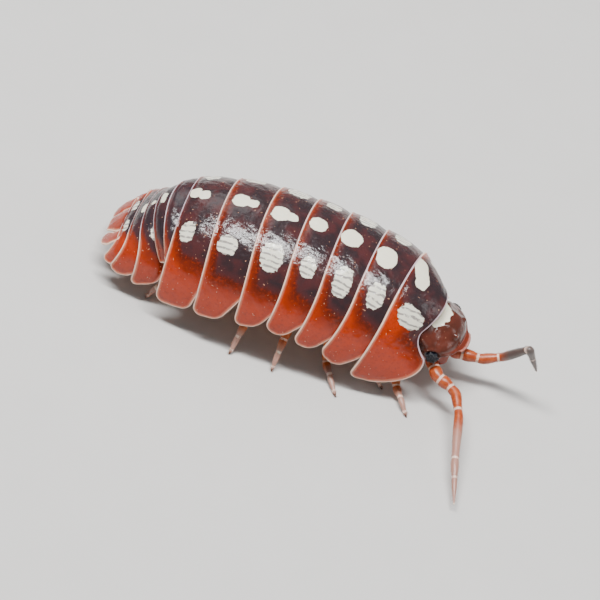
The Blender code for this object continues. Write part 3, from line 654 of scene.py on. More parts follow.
def head_relief(place):
    """Height of the head's features over the dome, in mm, at places in the head's own frame."""
    x, y, z = place[..., 0], place[..., 1], place[..., 2]
    away = np.abs(y)
    front = ease((x - HEAD_MIDDLE) / HEAD_FRONT, 0.15, 0.60)
    brow = z - (BROW_HEIGHT - BROW_FALL * (y / 1.3) ** 2)
    fade = 1 - ease(away, 1.38, 1.60)
    ledge = 0.10 + 0.07 * hill(y, 0.62)
    height = ledge * hill(brow, 0.075) * front * fade
    height = height - 0.10 * ease(-brow, 0.05, 0.18) * front * fade * ease(z, -1.05, -0.6)
    shield = shield_distance(y, z)
    height = height + (0.15 * ease(shield, -0.01, 0.06) + 0.03 * hill(shield - 0.05, 0.030)) * front
    horn = np.sqrt((away - 0.60) ** 2 + (z - 0.60) ** 2 + (x - 0.98) ** 2)
    height = height + 0.13 * hill(horn, 0.10)
    ahead, side, up = LOBE_PLACE
    lobe = np.sqrt(((away - side) / 1.15) ** 2 + (z - up) ** 2)
    height = height + 0.24 * hill(lobe, 0.22) * ease(x, 0.2, 0.6)
    socket = np.sqrt((away - 1.02) ** 2 + (z + 0.92) ** 2 + 0.4 * (x - 0.70) ** 2)
    height = height + 0.07 * hill(socket - 0.30, 0.07) - 0.10 * hill(socket, 0.20)
    lip = np.sqrt((y / 1.4) ** 2 + (z + 0.98) ** 2)
    height = height + (0.20 * hill(lip, 0.22) - 0.035 * hill(z + 0.90 - 0.12 * away, 0.03) * (away < 0.6)) * front
    eye = np.linalg.norm(np.stack([x, away, z], -1) - np.array(EYE_PLACE), axis=-1)
    height = height + 0.05 * hill(eye - 0.37, 0.08) - 0.12 * hill(eye, 0.26)
    height = height - 0.17 * ease(away, 0.40, 1.10) * ease(z, 0.15, 0.65) * ease(x, 0.0, 0.4)
    height = height + 0.42 * ease(-x, -0.05, 0.50) * ease(z, 0.10, 0.60) * (1 - ease(y, 0.55, 1.15))
    nape = -0.045 * hill(x + 0.60, 0.06) * (z > 0) + 0.02 * hill(x + 0.48, 0.06) * (z > 0)
    dents = 0.012 * np.sin(5.3 * x + 2.1) * np.sin(4.7 * away + 0.6) * np.sin(4.1 * z + 1.0)
    return height + nape + dents


def head_values(place, brow_edge):
    """The attributes of the head's points: the cream patch at the nape, and the pale brow line."""
    x, y, z = place[..., 0], place[..., 1], place[..., 2]
    away = np.abs(y)
    reach = PATCH_AHEAD * (1 - (away / PATCH_HALF) ** 2.2) - 0.035 * (1 + np.sin(away * 17.0 + 0.8))
    patch = np.minimum(np.minimum(reach - x, PATCH_HALF - away), z)
    band = hill(z - BROW_HEIGHT + BROW_FALL * (y / 1.3) ** 2 - 0.12, 0.12) * ease(x, 0.55, 0.85)
    face = ease(-z, 0.02, 0.55) + 0.20 * ease(x, 0.75, 1.2) + 0.45 * band
    return {"away": y, "ahead": x, "edge": brow_edge, "under": 0 * x, "mid_spot": patch,
            "side_spot": 0 * x - 9.0, "saddle": 0.55 - 1.1 * face}


def make_head():
    """The head's closed skin, from the pole below to the pole above."""
    around = np.linspace(0, 2 * math.pi, HEAD_ROUND, endpoint=False)
    rise = np.linspace(-math.pi / 2, math.pi / 2, HEAD_RISE)
    way = np.stack([np.cos(rise)[:, None] * np.cos(around), np.cos(rise)[:, None] * np.sin(around),
                    np.sin(rise)[:, None] + 0 * around], -1)
    half = np.stack([np.where(way[..., 0] > 0, HEAD_FRONT, HEAD_REAR), np.full(way.shape[:2], HEAD_HALF),
                     np.where(way[..., 2] > 0, HEAD_TOP, HEAD_BOTTOM)], -1)
    radius = (np.abs(way / half) ** HEAD_BOXY).sum(-1) ** (-1 / HEAD_BOXY)
    place = way * radius[..., None]
    normal = unit(np.sign(place) * np.abs(place / half) ** (HEAD_BOXY - 1) / half)
    place[..., 0] += HEAD_MIDDLE
    x, y, z = place[..., 0], place[..., 1], place[..., 2]
    front = ease((x - HEAD_MIDDLE) / HEAD_FRONT, 0.15, 0.45)
    brow = np.abs(z - (BROW_HEIGHT - BROW_FALL * (y / 1.3) ** 2))
    brow = np.minimum(brow + ease(np.abs(y), 1.38, 1.55), np.abs(shield_distance(y, z) - 0.03))
    horn = np.sqrt((np.abs(y) - 0.60) ** 2 + (z - 0.60) ** 2 + (x - 0.98) ** 2)
    brow = np.minimum(brow, horn * 0.5)
    values = head_values(place, 0.012 + brow * 1.5 + (1 - front) * 2)
    skin = place + normal * head_relief(place)[..., None]
    faces = outward(skin, grid_faces(HEAD_RISE, HEAD_ROUND, round_columns=True))
    return make_piece("head_skin", on_head(skin), faces, HEAD_SHELL, ["head"], values)


make_head()

# %% [markdown]
# ## The eyes
#
# A woodlouse's eye is a patch of about twenty separate lenses, each a glossy bead on a black
# ground. A single smooth ball would shine with one highlight; beads give one each. The ground is
# a flattened ball, and the beads stand on it in rings around the axis that looks outward.

# %% Eyes of many lenses
EYE_RADIUS = 0.27
LENS_RADIUS = 0.062
LENS_RINGS = ((0.0, 1), (0.42, 6), (0.80, 11), (1.12, 6))


def ball_grid(count, rows):
    """Directions over a whole ball, from pole to pole, and its faces."""
    around = np.linspace(0, 2 * math.pi, count, endpoint=False)
    rise = np.linspace(-math.pi / 2, math.pi / 2, rows)
    way = np.stack([np.cos(rise)[:, None] * np.cos(around), np.cos(rise)[:, None] * np.sin(around),
                    np.sin(rise)[:, None] + 0 * around], -1)
    return way, grid_faces(rows, count, round_columns=True)


def eye_finish():
    """Lens chitin over black pigment: very smooth, nearly black, a little blue."""
    made, tree = new_finish("lens_chitin")
    shade = blend_colours(tree, ramp(tree, grain(tree, 0.06), 0.4, 0.7), "#0b0c11", "#1a1d29")
    close_finish(tree, add(tree, "ShaderNodeBsdfPrincipled", {
        "Base Color": shade, "Roughness": 0.12, "IOR": 1.56}))
    return made


LENS = eye_finish()


def make_eye(side, name):
    """The eye of one side (1 left, -1 right), its beads in rings round its outward axis."""
    ahead, away, up = EYE_PLACE
    centre = np.array([ahead, side * away, up])
    axis = unit(np.array([0.30, side * 0.90, 0.42]))
    level = unit(np.cross(axis, [1.0, 0.0, 0.0]))
    third = np.cross(axis, level)
    way, faces = ball_grid(28, 15)
    ground = way * np.array([0.92, 1.10, 0.86]) * EYE_RADIUS
    turn = np.stack([level, third, axis])
    parts = [(centre + ground @ turn, outward(ground, faces), {})]
    bead, bead_faces = ball_grid(10, 7)
    for tilt, count in LENS_RINGS:
        for number in range(count):
            spin = 2 * math.pi * (number + 0.5 * (tilt > 0.7)) / count
            local = np.array([math.sin(tilt) * math.cos(spin) * 0.92, math.sin(tilt) * math.sin(spin) * 1.10,
                              math.cos(tilt) * 0.86])
            place = centre + (local * (EYE_RADIUS * 1.02)) @ turn
            parts.append((place + bead * LENS_RADIUS, outward(bead, bead_faces), {}))
    points, faces, values = joined(parts)
    return make_piece(name + "_lenses", on_head(points), faces, LENS, [name], values)


make_eye(1, "eye_left")
make_eye(-1, "eye_right")

# %% [markdown]
# ## Jointed limbs
#
# Legs and feelers are chains of stiff tubes, one pushed into the next, with a soft pale skin at
# each joint. A profile is carried along a path: within every joint the tube swells from a narrow
# root to a wider end, and drops back sharply where the next one starts. Bristles are slim cones
# that lean toward the tip. The rings, the colour and the darkening toward the tip are read from
# two attributes, the distance to the nearest joint and the place along the limb.

# %% Tubes along a path, and bristles
def smooth_path(corners, per_span):
    """Points along a curve through the corners, eased at each one (Catmull and Rom)."""
    corners = np.asarray(corners, float)
    padded = np.vstack([2 * corners[0] - corners[1], corners, 2 * corners[-1] - corners[-2]])
    part = np.linspace(0, 1, per_span, endpoint=False)[:, None]
    spans = []
    for span in range(len(corners) - 1):
        before, start, end, after = padded[span:span + 4]
        spans.append(0.5 * (2 * start + (end - before) * part + (2 * before - 5 * start + 4 * end - after)
                            * part ** 2 + (3 * start - before - 3 * end + after) * part ** 3))
    return np.vstack(spans + [corners[-1:]])


def path_frames(path, side_hint):
    """Tangents, and two directions square to each, with as little twist as the hint allows."""
    tangent = unit(np.gradient(path, axis=0))
    side = unit(np.cross(tangent, side_hint))
    return tangent, side, np.cross(tangent, side)


def tube_grid(path, radii, count, side_hint, flat=1.0):
    """A closed tube of these radii along a path, round or flattened, closed by its two end rings."""
    tangent, side, up = path_frames(path, side_hint)
    around = np.linspace(0, 2 * math.pi, count, endpoint=False)
    ring = np.cos(around)[None, :, None] * side[:, None] + flat * np.sin(around)[None, :, None] * up[:, None]
    points = path[:, None] + radii[:, None, None] * ring
    ends = [np.repeat(path[:1, None], count, 1), np.repeat(path[-1:, None], count, 1)]
    points = np.concatenate([ends[0], points, ends[1]])
    return points, outward(points, grid_faces(len(points), count, round_columns=True))


def joint_profile(part, ends, girths):
    """Radius, distance to the nearest joint and joint number at parts of the way along a limb.

    Inside a joint the radius is girth * (0.80 + 0.24 * sin(...)), widest at two thirds, and it
    ends in a small collar.
    """
    ends = np.asarray(ends)
    number = np.clip(np.searchsorted(ends, part, side="right") - 1, 0, len(ends) - 2)
    start, stop = ends[number], ends[number + 1]
    inside = (part - start) / (stop - start)
    girth = np.asarray(girths)[number] * (1 - inside) + np.asarray(girths)[number + 1] * inside
    swell = 0.80 + 0.24 * np.sin(math.pi * np.clip(inside, 0, 1) ** 0.75)
    swell = swell + 0.10 * hill(inside - 0.95, 0.035)
    nearest = np.minimum(part - start, stop - part)
    return girth * swell, nearest, number


def joint_stations(ends, per_joint):
    """Places along a limb, crowded at both ends of every joint."""
    eased = (1 - np.cos(np.linspace(0, math.pi, per_joint))) / 2
    return np.concatenate([start + (stop - start) * eased[:-1] for start, stop in zip(ends[:-1], ends[1:])]
                          + [[ends[-1]]])


def along_path(curve, part):
    """Places at parts of the way along a curve."""
    run = np.concatenate([[0], np.cumsum(np.linalg.norm(np.diff(curve, axis=0), axis=1))])
    return np.stack([np.interp(part * run[-1], run, curve[:, axis]) for axis in range(3)], -1), run[-1]


def bristles(roots, directions, lengths, thick):
    """Slim four-sided cones from their roots, all at once."""
    count = len(roots)
    first = unit(np.cross(directions, [0.31, 0.22, 0.93]))
    second = np.cross(directions, first)
    square = np.array([[1, 0], [0, 1], [-1, 0], [0, -1]])
    base = roots[:, None] + thick * (square[None, :, :1] * first[:, None] + square[None, :, 1:] * second[:, None])
    tips = roots + directions * lengths[:, None]
    points = np.concatenate([base, tips[:, None]], 1).reshape(-1, 3)
    one = np.array([[0, 1, 4, 4], [1, 2, 4, 4], [2, 3, 4, 4], [3, 0, 4, 4], [3, 2, 1, 0]])
    faces = (one[None] + 5 * np.arange(count)[:, None, None]).reshape(-1, 4)
    return points, faces


def limb_finish(name, root, middle, tip, tip_start):
    """Semi-gloss chitin, orange at the root to the tip's colour, with pale rings at the joints."""
    made, tree = new_finish(name)
    along, ring = attribute(tree, "along"), attribute(tree, "ring")
    mottle = grain(tree, 0.16)
    colour = blend_colours(tree, ramp(tree, mottle, 0.35, 0.70), root, middle)
    colour = blend_colours(tree, ramp(tree, nudge(tree, along, 0.2, 0.03), tip_start - 0.08, tip_start + 0.06),
                           colour, tip)
    pale = ramp(tree, nudge(tree, ring, 0.12, 0.012), 0.075, 0.035)
    colour = blend_colours(tree, maths(tree, "MULTIPLY", pale, 0.85), colour, "#efd3c2")
    colour = blend_colours(tree, attribute(tree, "claw"), colour, "#4a2a1c")
    shader = add(tree, "ShaderNodeBsdfPrincipled", {
        "Base Color": colour, "Roughness": 0.34, "IOR": 1.54, "Subsurface Weight": 0.30,
        "Subsurface Radius": (0.5, 0.25, 0.15), "Subsurface Scale": 0.2 * MM,
        "Normal": scaly_bump(tree, 0.35, 0.4)})
    close_finish(tree, shader)
    return made


LEG_CHITIN = limb_finish("leg_chitin", "#b0500f", "#c56a26", "#b08475", 0.72)

# %% [markdown]
# ## Fourteen legs
#
# Seven pairs of walking legs hang from the belly, each of six joints: a long one from the hip,
# four shorter ones, and a claw. The first three pairs reach forward, the fourth sideways and the
# rest back. Each leg follows the path of its solid: out from the hip, under the skirt's edge,
# and down to a small flat on the floor.

# %% Leg paths and legs
Stride = namedtuple("Stride", "pair right_x right_y left_x left_y")
STRIDES = (
    Stride(1, 7.22, 4.00, 6.95, 3.75), Stride(2, 5.70, 2.85, 3.85, 4.20), Stride(3, 3.88, 4.30, 2.90, 4.25),
    Stride(4, 0.70, 4.12, 1.15, 4.20), Stride(5, -1.39, 4.00, -1.65, 4.15), Stride(6, -3.70, 1.75, -3.40, 4.00),
    Stride(7, -6.01, 2.40, -5.60, 2.90),
)
BELLY = (2.35, 2.55, 2.95, 3.10, 3.10, 3.05, 2.85, 2.50)
NECK_BACK = 1.35
SOLID_PLATE, GAP, HIP_GAP = 0.55, 0.3, 0.36
TRUNK_INSET, TRUNK_REACH = 1.00, 0.60
HIP_PART, NECK_HIP_BACK = 0.76, 0.50
LEG_RADIUS, FOOT_RADIUS = 0.26, 0.13
LEG_JOINTS = (0.0, 0.36, 0.52, 0.64, 0.78, 0.94, 1.0)
LEG_GIRTHS = (0.25, 0.26, 0.235, 0.205, 0.15, 0.105, 0.035)


def belly_height(ahead):
    """Height of the flat belly at a place along the body."""
    places = TOPS[7::-1, 0] - np.array([0.0] * 7 + [NECK_BACK])
    return float(np.interp(ahead, places, BELLY[::-1]))


def skirt_over(ahead, side):
    """Side and height of the lower of the two skirts nearest to a place along the body."""
    skirts = []
    for number in range(NECK, NECK + 7):
        corner = hind_edge(number, np.array([float(-side)]))[0]
        forward = unit(hind_edge(number - 1, np.array([float(-side)]))[0] - corner)
        place = corner + forward * BACK[number].skirt / 2
        skirts.append((abs(place[0] - ahead), place[2], place[1]))
    low = min(sorted(skirts)[:2], key=lambda skirt: skirt[1])
    return low[2], low[1]


def leg_corners(pair, side, foot_x, foot_y):
    """Hip, two places under the skirt, and foot."""
    middle = (TOPS[pair] + TOPS[pair - 1]) / 2
    if pair == NECK:
        middle = middle + NECK_HIP_BACK * (TOPS[pair] - middle)
    hip_height = min(belly_height(middle[0] - LEG_RADIUS), belly_height(middle[0] + LEG_RADIUS)) - HIP_GAP
    hip_side = HIP_PART * (BACK[pair].half + BACK[pair - 1].half - 2 * TRUNK_INSET) / 2
    hip_side *= math.sin(TRUNK_REACH * math.pi / 2)
    hip = np.array([middle[0], middle[1] + side * hip_side, hip_height])
    foot = np.array([foot_x, side * foot_y, 0.0])
    travel = abs(foot[1] - hip[1])
    edge_side, edge_height = skirt_over(hip[0] + (foot_x - hip[0]) * 0.7, side)
    under = edge_height - GAP - LEG_RADIUS - 0.04
    inside = np.clip((abs(edge_side - hip[1]) - SOLID_PLATE - 0.35) / travel, 0.2, 0.55)
    below = np.clip((abs(edge_side - hip[1]) - 0.05) / travel, inside + 0.2, 0.8)
    corners = [hip + np.array([0.0, -0.10 * side, 0.80]), hip]
    for part, height in ((inside, under + 0.22), (below, under)):
        height = min(height, hip[2] * (1 - part) + 0.25)
        ahead = hip[0] + (foot[0] - hip[0]) * part ** 1.5
        corners.append([ahead, hip[1] + (foot[1] - hip[1]) * part, height])
    return np.array(corners + [foot])


def limb_bristles(path, radii, along, facing, spacing, length, spread, seed):
    """Bristles in rows along a limb, within a spread of angles round the facing direction."""
    draw = np.random.default_rng(seed)
    count = int(spacing)
    part = draw.uniform(0.30, 0.97, count)
    index = np.clip((part * (len(path) - 1)).astype(int), 1, len(path) - 2)
    tangent, side, up = path_frames(path, facing)
    angle = draw.uniform(-spread, spread, count) + np.pi / 2
    out = np.cos(angle)[:, None] * side[index] + np.sin(angle)[:, None] * up[index]
    roots = path[index] + out * (radii[index] * 0.9)[:, None]
    direction = unit(out + tangent[index] * draw.uniform(0.5, 1.1, count)[:, None])
    points, faces = bristles(roots, direction, length * draw.uniform(0.6, 1.2, count), 0.011)
    near = np.repeat(along[index], 5)
    return points, faces, {"along": near, "ring": 0 * near + 1.0, "claw": 0 * near}


def make_leg(pair, side, name, foot_x, foot_y):
    """One leg: six joints along its path, a claw, and bristles on its underside."""
    curve = smooth_path(leg_corners(pair, side, foot_x, foot_y), 16)
    part = joint_stations(LEG_JOINTS, 14)
    path, reach = along_path(curve, part)
    radii, nearest, number = joint_profile(part, LEG_JOINTS, LEG_GIRTHS)
    radii = np.minimum(radii, 0.30)
    path[:-1, 2] = np.maximum(path[:-1, 2], radii[:-1] * 0.98)
    path[-1, 2] = radii[-1] * 0.5
    points, faces = tube_grid(path, radii, 20, [0.0, 0.0, 1.0], flat=0.88)
    points[..., 2] = np.maximum(points[..., 2], 0.0)
    rows = np.concatenate([[0], np.arange(len(part)), [len(part) - 1]])
    claw = ease(part, 0.955, 0.985)
    values = {"along": part, "ring": nearest * reach, "claw": claw}
    values = {key: np.repeat(value[rows], 20) for key, value in values.items()}
    hairs = limb_bristles(path, radii, part, [0.0, 0.0, -1.0], 46, 0.15, 1.3, pair * 2 + (side > 0))
    hairs[0][:, 2] = np.maximum(hairs[0][:, 2], 0.0)
    points, faces, values = joined([(points, faces, values), hairs])
    return make_piece(name + "_chitin", points, faces, LEG_CHITIN, [name], values)


for stride in STRIDES:
    make_leg(stride.pair, 1, "leg_left_%d" % stride.pair, stride.left_x, stride.left_y)
    make_leg(stride.pair, -1, "leg_right_%d" % stride.pair, stride.right_x, stride.right_y)

# %% [markdown]
# ## The feelers
#
# Each long feeler has five joints that grow longer outward, and a lash of two more that ends in
# a cone. The skin between the joints shows as pale rings. The right one reaches out to the side;
# the left one goes ahead, then bends up and over, and its outer half is grey.

# %% Feelers
FEELER_RIGHT = (
    (7.62, -2.05, 1.74), (7.95, -2.50, 1.68), (8.53, -2.71, 1.60), (9.02, -3.02, 1.55),
    (9.50, -4.11, 1.40), (10.07, -6.45, 0.95), (10.71, -8.48, 0.45),
)
FEELER_LEFT = (
    (8.05, -0.50, 1.75), (8.27, -0.64, 1.65), (8.83, -0.57, 1.65), (9.54, -0.49, 1.65),
    (10.42, -0.26, 2.00), (11.50, -0.93, 3.75), (12.08, -0.07, 1.65),
)
FEELER_GIRTHS = (0.27, 0.30, 0.30, 0.25, 0.225, 0.20, 0.155, 0.04)
FEELER_RIGHT_CHITIN = limb_finish("feeler_chitin_right", "#9c3c12", "#b4572a", "#ab7d6e", 0.53)
FEELER_LEFT_CHITIN = limb_finish("feeler_chitin_left", "#9c3c12", "#b4572a", "#5a4e4a", 0.44)


def make_feeler(name, corners, finish, seed):
    """One feeler from its socket to its tip, every bend rounded a little."""
    corners = np.array(corners)
    lash = corners[-2] + (corners[-1] - corners[-2]) * 0.42
    ends = np.vstack([corners[:-1], lash, corners[-1:]])
    root = corners[0] + (corners[0] - corners[1]) * 0.9
    legs = np.linalg.norm(np.diff(ends, axis=0), axis=1)
    marks = np.concatenate([[0], np.cumsum(legs)]) / legs.sum()
    dense = np.linspace(0, 1, 700)
    straight = np.stack([np.interp(dense, marks, ends[:, axis]) for axis in range(3)], -1)
    window = hill(np.linspace(-1, 1, 31), 0.55)
    padded = np.vstack([np.repeat(straight[:1], 15, 0), straight, np.repeat(straight[-1:], 15, 0)])
    curve = np.stack([np.convolve(padded[:, axis], window / window.sum(), "valid") for axis in range(3)], -1)
    curve = np.vstack([root, curve])
    part = joint_stations(marks, 16)
    path, reach = along_path(curve, part)
    radii, nearest, number = joint_profile(part, marks, FEELER_GIRTHS)
    points, faces = tube_grid(path, radii, 24, [0.05, 0.1, 1.0])
    rows = np.concatenate([[0], np.arange(len(part)), [len(part) - 1]])
    values = {"along": part, "ring": nearest * reach, "claw": 0 * part}
    values = {key: np.repeat(value[rows], 24) for key, value in values.items()}
    hairs = limb_bristles(path, radii, part, [0.05, 0.1, 1.0], 420, 0.085, 3.14, seed)
    points, faces, values = joined([(points, faces, values), hairs])
    return make_piece(name + "_chitin", points, faces, finish, [name], values)


make_feeler("antenna_right", FEELER_RIGHT, FEELER_RIGHT_CHITIN, 101)
make_feeler("antenna_left", FEELER_LEFT, FEELER_LEFT_CHITIN, 102)

# %% [markdown]
# ## Leaves: the tail plate, tail feet, gills and jaw feet
#
# Behind the last plate lie a three-cornered tail plate and, on either side, a flat tail foot whose
# outer blade closes the fan. Under the hind body hang five pairs of gill flaps, of which the first
# two carry white air lungs. All are leaves: a flat outline with rounded corners, a little crown,
# and a round edge. Each could be cut from a sheet with Booleans; here rings shrink from the
# outline to a middle point on both faces, so the leaf is closed and its edge is exact.

# %% Leaves
Leaf = namedtuple("Leaf", "outline crown thick round")
LEAF_AROUND, LEAF_RINGS = 96, 12


def rounded_outline(corners, round_mm):
    """A closed outline through straight sides whose corners are rounded by a moving average."""
    corners = np.asarray(corners, float)
    closed = np.vstack([corners, corners[:1]])
    run = np.concatenate([[0], np.cumsum(np.linalg.norm(np.diff(closed, axis=0), axis=1))])
    dense = np.linspace(0, run[-1], 960, endpoint=False)
    line = np.stack([np.interp(dense, run, closed[:, axis]) for axis in range(2)], -1)
    reach = max(int(960 * round_mm / run[-1]), 1)
    window = hill(np.linspace(-1, 1, 2 * reach + 1), 0.6)
    padded = np.vstack([line[-reach:], line, line[:reach]])
    line = np.stack([np.convolve(padded[:, axis], window / window.sum(), "valid") for axis in range(2)], -1)
    return line[:: 960 // LEAF_AROUND]


def leaf_grid(leaf):
    """Rings of (along, side, up) over a leaf's outer face, round its edge and over its inner face."""
    outline = rounded_outline(leaf.outline, leaf.round)
    middle = outline.mean(0)
    inward = np.linspace(0, 1, LEAF_RINGS) ** 0.75
    turn = np.radians([0, 30, 60, 90, 120, 150, 180])
    part = np.concatenate([inward, np.ones(len(turn)), inward[::-1]])
    push = np.concatenate([0 * inward, np.sin(turn), 0 * inward]) * leaf.thick / 2
    height = np.concatenate([0 * inward + 1, np.cos(turn), 0 * inward - 1]) * leaf.thick / 2
    flat = middle + (outline - middle) * part[:, None, None] + unit(outline - middle) * push[:, None, None]
    up = height[:, None] + leaf.crown * (1 - part[:, None] ** 2) + 0 * flat[..., 0]
    edge = (1 - part)[:, None] * np.linalg.norm(outline - middle, axis=-1)
    under = (height < -leaf.thick * 0.4)[:, None] + 0 * flat[..., 0]
    return np.concatenate([flat, up[..., None]], -1), edge, under


def placed_leaf(leaf, origin, along, side, up, saddle=-1.0):
    """A leaf stood in space by an origin and three directions, with the shell's attributes."""
    grid, edge, under = leaf_grid(leaf)
    points = np.asarray(origin, float) + grid @ np.stack([along, side, up])
    faces = outward(points, grid_faces(grid.shape[0], grid.shape[1], round_columns=True))
    none = 0 * edge - 9.0
    values = {"away": grid[..., 1], "ahead": grid[..., 0], "edge": edge, "under": under * 1.0,
              "mid_spot": none, "side_spot": none, "saddle": 0 * edge + saddle}
    return points.reshape(-1, 3), faces, values


# %% Tail plate and tail feet
TAIL_SLOPE = math.radians(50.0)
TAIL_DOWN = np.array([-math.cos(TAIL_SLOPE), 0.0, -math.sin(TAIL_SLOPE)])
TAIL_UP = np.array([-math.sin(TAIL_SLOPE), 0.0, math.cos(TAIL_SLOPE)])
LEFTWARD = np.array([0.0, 1.0, 0.0])
TELSON_DOWN, TELSON_UP = unit(TAIL_DOWN + 0.10 * TAIL_UP), unit(TAIL_UP - 0.10 * TAIL_DOWN)
TELSON = Leaf([(-0.30, -0.85), (-0.30, 0.85), (0.35, 0.74), (1.05, 0.40), (1.05, -0.40), (0.35, -0.74)],
              0.10, 0.07, 0.16)
EXOPOD = Leaf([(-0.25, 0.80), (0.45, 0.78), (0.95, 0.54), (1.18, 0.66), (1.22, 0.98), (1.08, 1.24), (0.64, 1.52),
               (-0.10, 1.48)], 0.05, 0.07, 0.16)
ENDOPOD = Leaf([(-0.10, 0.22), (-0.10, 0.52), (0.78, 0.48), (0.92, 0.30), (0.78, 0.20)], 0.03, 0.09, 0.12)

points, faces, values = placed_leaf(TELSON, TOPS[-1] - 0.10 * TAIL_UP, TELSON_DOWN, LEFTWARD, TELSON_UP, -0.55)
values["saddle"] = 0.35 - 1.3 * ease(values["ahead"], -0.30, 0.35)
make_piece("telson_shell", points, faces, TAIL_SHELL, ["telson"], values)
for side, name in ((1, "uropod_left"), (-1, "uropod_right")):
    outward_way = side * LEFTWARD
    blade = placed_leaf(EXOPOD, TOPS[-1] - 0.10 * TAIL_UP, TAIL_DOWN, outward_way, TAIL_UP)
    inner = placed_leaf(ENDOPOD, TOPS[-1] - 0.30 * TAIL_UP, TAIL_DOWN, outward_way, TAIL_UP)
    points, faces, values = joined([blade, inner])
    make_piece(name + "_blades", points, faces, TAIL_SHELL, [name], values)


# %% Gill flaps and jaw feet
def membrane_finish(name, pale, warm, fold_painted_shade, mark):
    """Soft thin skin: matte, a little see-through to light, with painted shade darkening its folds and the rims of
    its flaps.
    """
    made, tree = new_finish(name)
    colour = blend_colours(tree, ramp(tree, grain(tree, 0.35), 0.30, 0.75), pale, warm)
    # Painted shade: the skin is darkened toward its folds and toward the rims of the flaps.
    colour = blend_colours(tree, ramp(tree, nudge(tree, attribute(tree, "fold"), 0.2, 0.02), 0.09, 0.0), colour,
                           fold_painted_shade)
    colour = blend_colours(tree, ramp(tree, nudge(tree, attribute(tree, "mark"), 0.15, 0.03), -0.03, 0.05),
                           colour, mark)
    close_finish(tree, add(tree, "ShaderNodeBsdfPrincipled", {
        "Base Color": colour, "Roughness": 0.48, "IOR": 1.45, "Subsurface Weight": 0.35,
        "Subsurface Radius": (0.6, 0.3, 0.2), "Subsurface Scale": 0.25 * MM,
        "Normal": scaly_bump(tree, 0.25, 0.5)}))
    return made


MEMBRANE = membrane_finish("soft_membrane", "#d9b7a0", "#c9a48c", "#a8705a", "#f3efe6")
GILL_START, GILL_STEP, GILL_SIDES = (-5.20, 2.25), (-0.34, -0.27), (0.12, 1.25)
GILL_HANG = 0.34           # how far a flap's root lies below the flesh's line
GILL_LONG = 0.78
GILL_LUNGS = 2             # flaps with a white lung


def make_gills(side, name):
    """Five flaps of one side, each hinged at its front and lapping the next."""
    step = np.array([GILL_STEP[0], 0.0, GILL_STEP[1]])
    along = unit(step)
    below = np.array([along[2], 0.0, -along[0]])
    below = -below if below[2] > 0 else below
    parts = []
    for number in range(5):
        narrow = 1 - 0.10 * number
        inner, outer = GILL_SIDES[0], GILL_SIDES[1] * narrow
        flap = Leaf([(-0.10, inner), (GILL_LONG * 0.8, inner), (GILL_LONG, (inner + outer) / 2),
                     (GILL_LONG * 0.7, outer), (-0.05, outer - 0.1)], 0.05, 0.07, 0.14)
        tilt = unit(along + 0.16 * below)
        root = np.array([GILL_START[0], 0.0, GILL_START[1]]) + step * number + below * GILL_HANG * narrow
        points, faces, values = placed_leaf(flap, root, tilt, side * LEFTWARD, np.cross(tilt, LEFTWARD) *
                                            (1 if np.cross(tilt, LEFTWARD)[2] < 0 else -1))
        lung = 0.26 - np.hypot(values["ahead"] - 0.42, (values["away"] - outer + 0.42) * 0.8)
        mark = lung if number < GILL_LUNGS else 0 * lung - 1
        parts.append((points, faces, {"fold": values["edge"], "mark": mark}))
    points, faces, values = joined(parts)
    return make_piece(name + "_flaps", points, faces, MEMBRANE, [name], values)


make_gills(1, "pleopods_left")
make_gills(-1, "pleopods_right")


def make_mouthparts():
    """Two jaw feet side by side under the mouth, each with a small jointed palp in front."""
    parts = []
    back, up = turned([-1.0, 0.0, 0.0], 0.0, HEAD_TURN), np.array([0.0, 0.0, 1.0])
    left = turned([0.0, 1.0, 0.0], 0.0, HEAD_TURN)
    for side in (1, -1):
        foot = Leaf([(-0.52, 0.03), (-0.50, 0.34), (-0.10, 0.52), (0.50, 0.44), (0.52, 0.05)], 0.07, 0.26, 0.12)
        points, faces, values = placed_leaf(foot, on_head((0.22, 0.0, -1.24)), back, side * left, -up)
        parts.append((points, faces, {"fold": values["edge"], "mark": 0 * values["edge"] - 1}))
        knees = on_head([(0.62, side * 0.26, -1.24), (0.76, side * 0.28, -1.18), (0.86, side * 0.24, -1.10),
                         (0.90, side * 0.20, -1.00)])
        path = smooth_path(knees, 6)
        points, faces = tube_grid(path, np.linspace(0.10, 0.03, len(path)), 12, [0.0, 0.0, 1.0])
        count = len(points.reshape(-1, 3))
        parts.append((points, faces, {"fold": np.full(count, 0.05), "mark": np.full(count, -1.0)}))
    points, faces, values = joined(parts)
    return make_piece("jaw_feet", points, faces, MEMBRANE, ["mouthparts"], values)


make_mouthparts()

# %% [markdown]
# ## The flesh under the plates
#
# Under the plates runs one soft body, from the neck to the tail. Its belly is a row of thin
# plates that lap backward like the back's, with a shallow groove along the middle and a raised
# ring round each leg's root. Each cross-section is a rounded oval between a top and a bottom
# point; many of them, eased from plate to plate, make one closed skin.

# %% Flesh
Cut = namedtuple("Cut", "top_x top_z low_x low_z half side")
TAIL_CUTS = (
    Cut(-5.52, 4.40, -5.20, 2.48, 2.35, 0.0),
    Cut(-6.00, 4.10, -5.50, 2.36, 2.15, -0.01), Cut(-6.52, 3.55, -5.90, 2.02, 1.85, -0.04),
    Cut(-6.92, 3.00, -6.25, 1.70, 1.55, -0.07), Cut(-7.30, 2.45, -6.60, 1.40, 1.25, -0.11),
    Cut(-7.68, 1.98, -6.95, 1.15, 0.90, -0.14),
)
TRUNK_INSET, TRUNK_REACH = 1.0, 0.60    # from plate to flesh; its part of a quarter turn
FLESH_ROUND, CUTS_EACH = 120, 16
FOLD_DEEP = 0.09


def squared(wave, power):
    """A sine or cosine pushed outward, which turns an oval into a rounded box."""
    return np.sign(wave) * np.abs(wave) ** (2 / power)


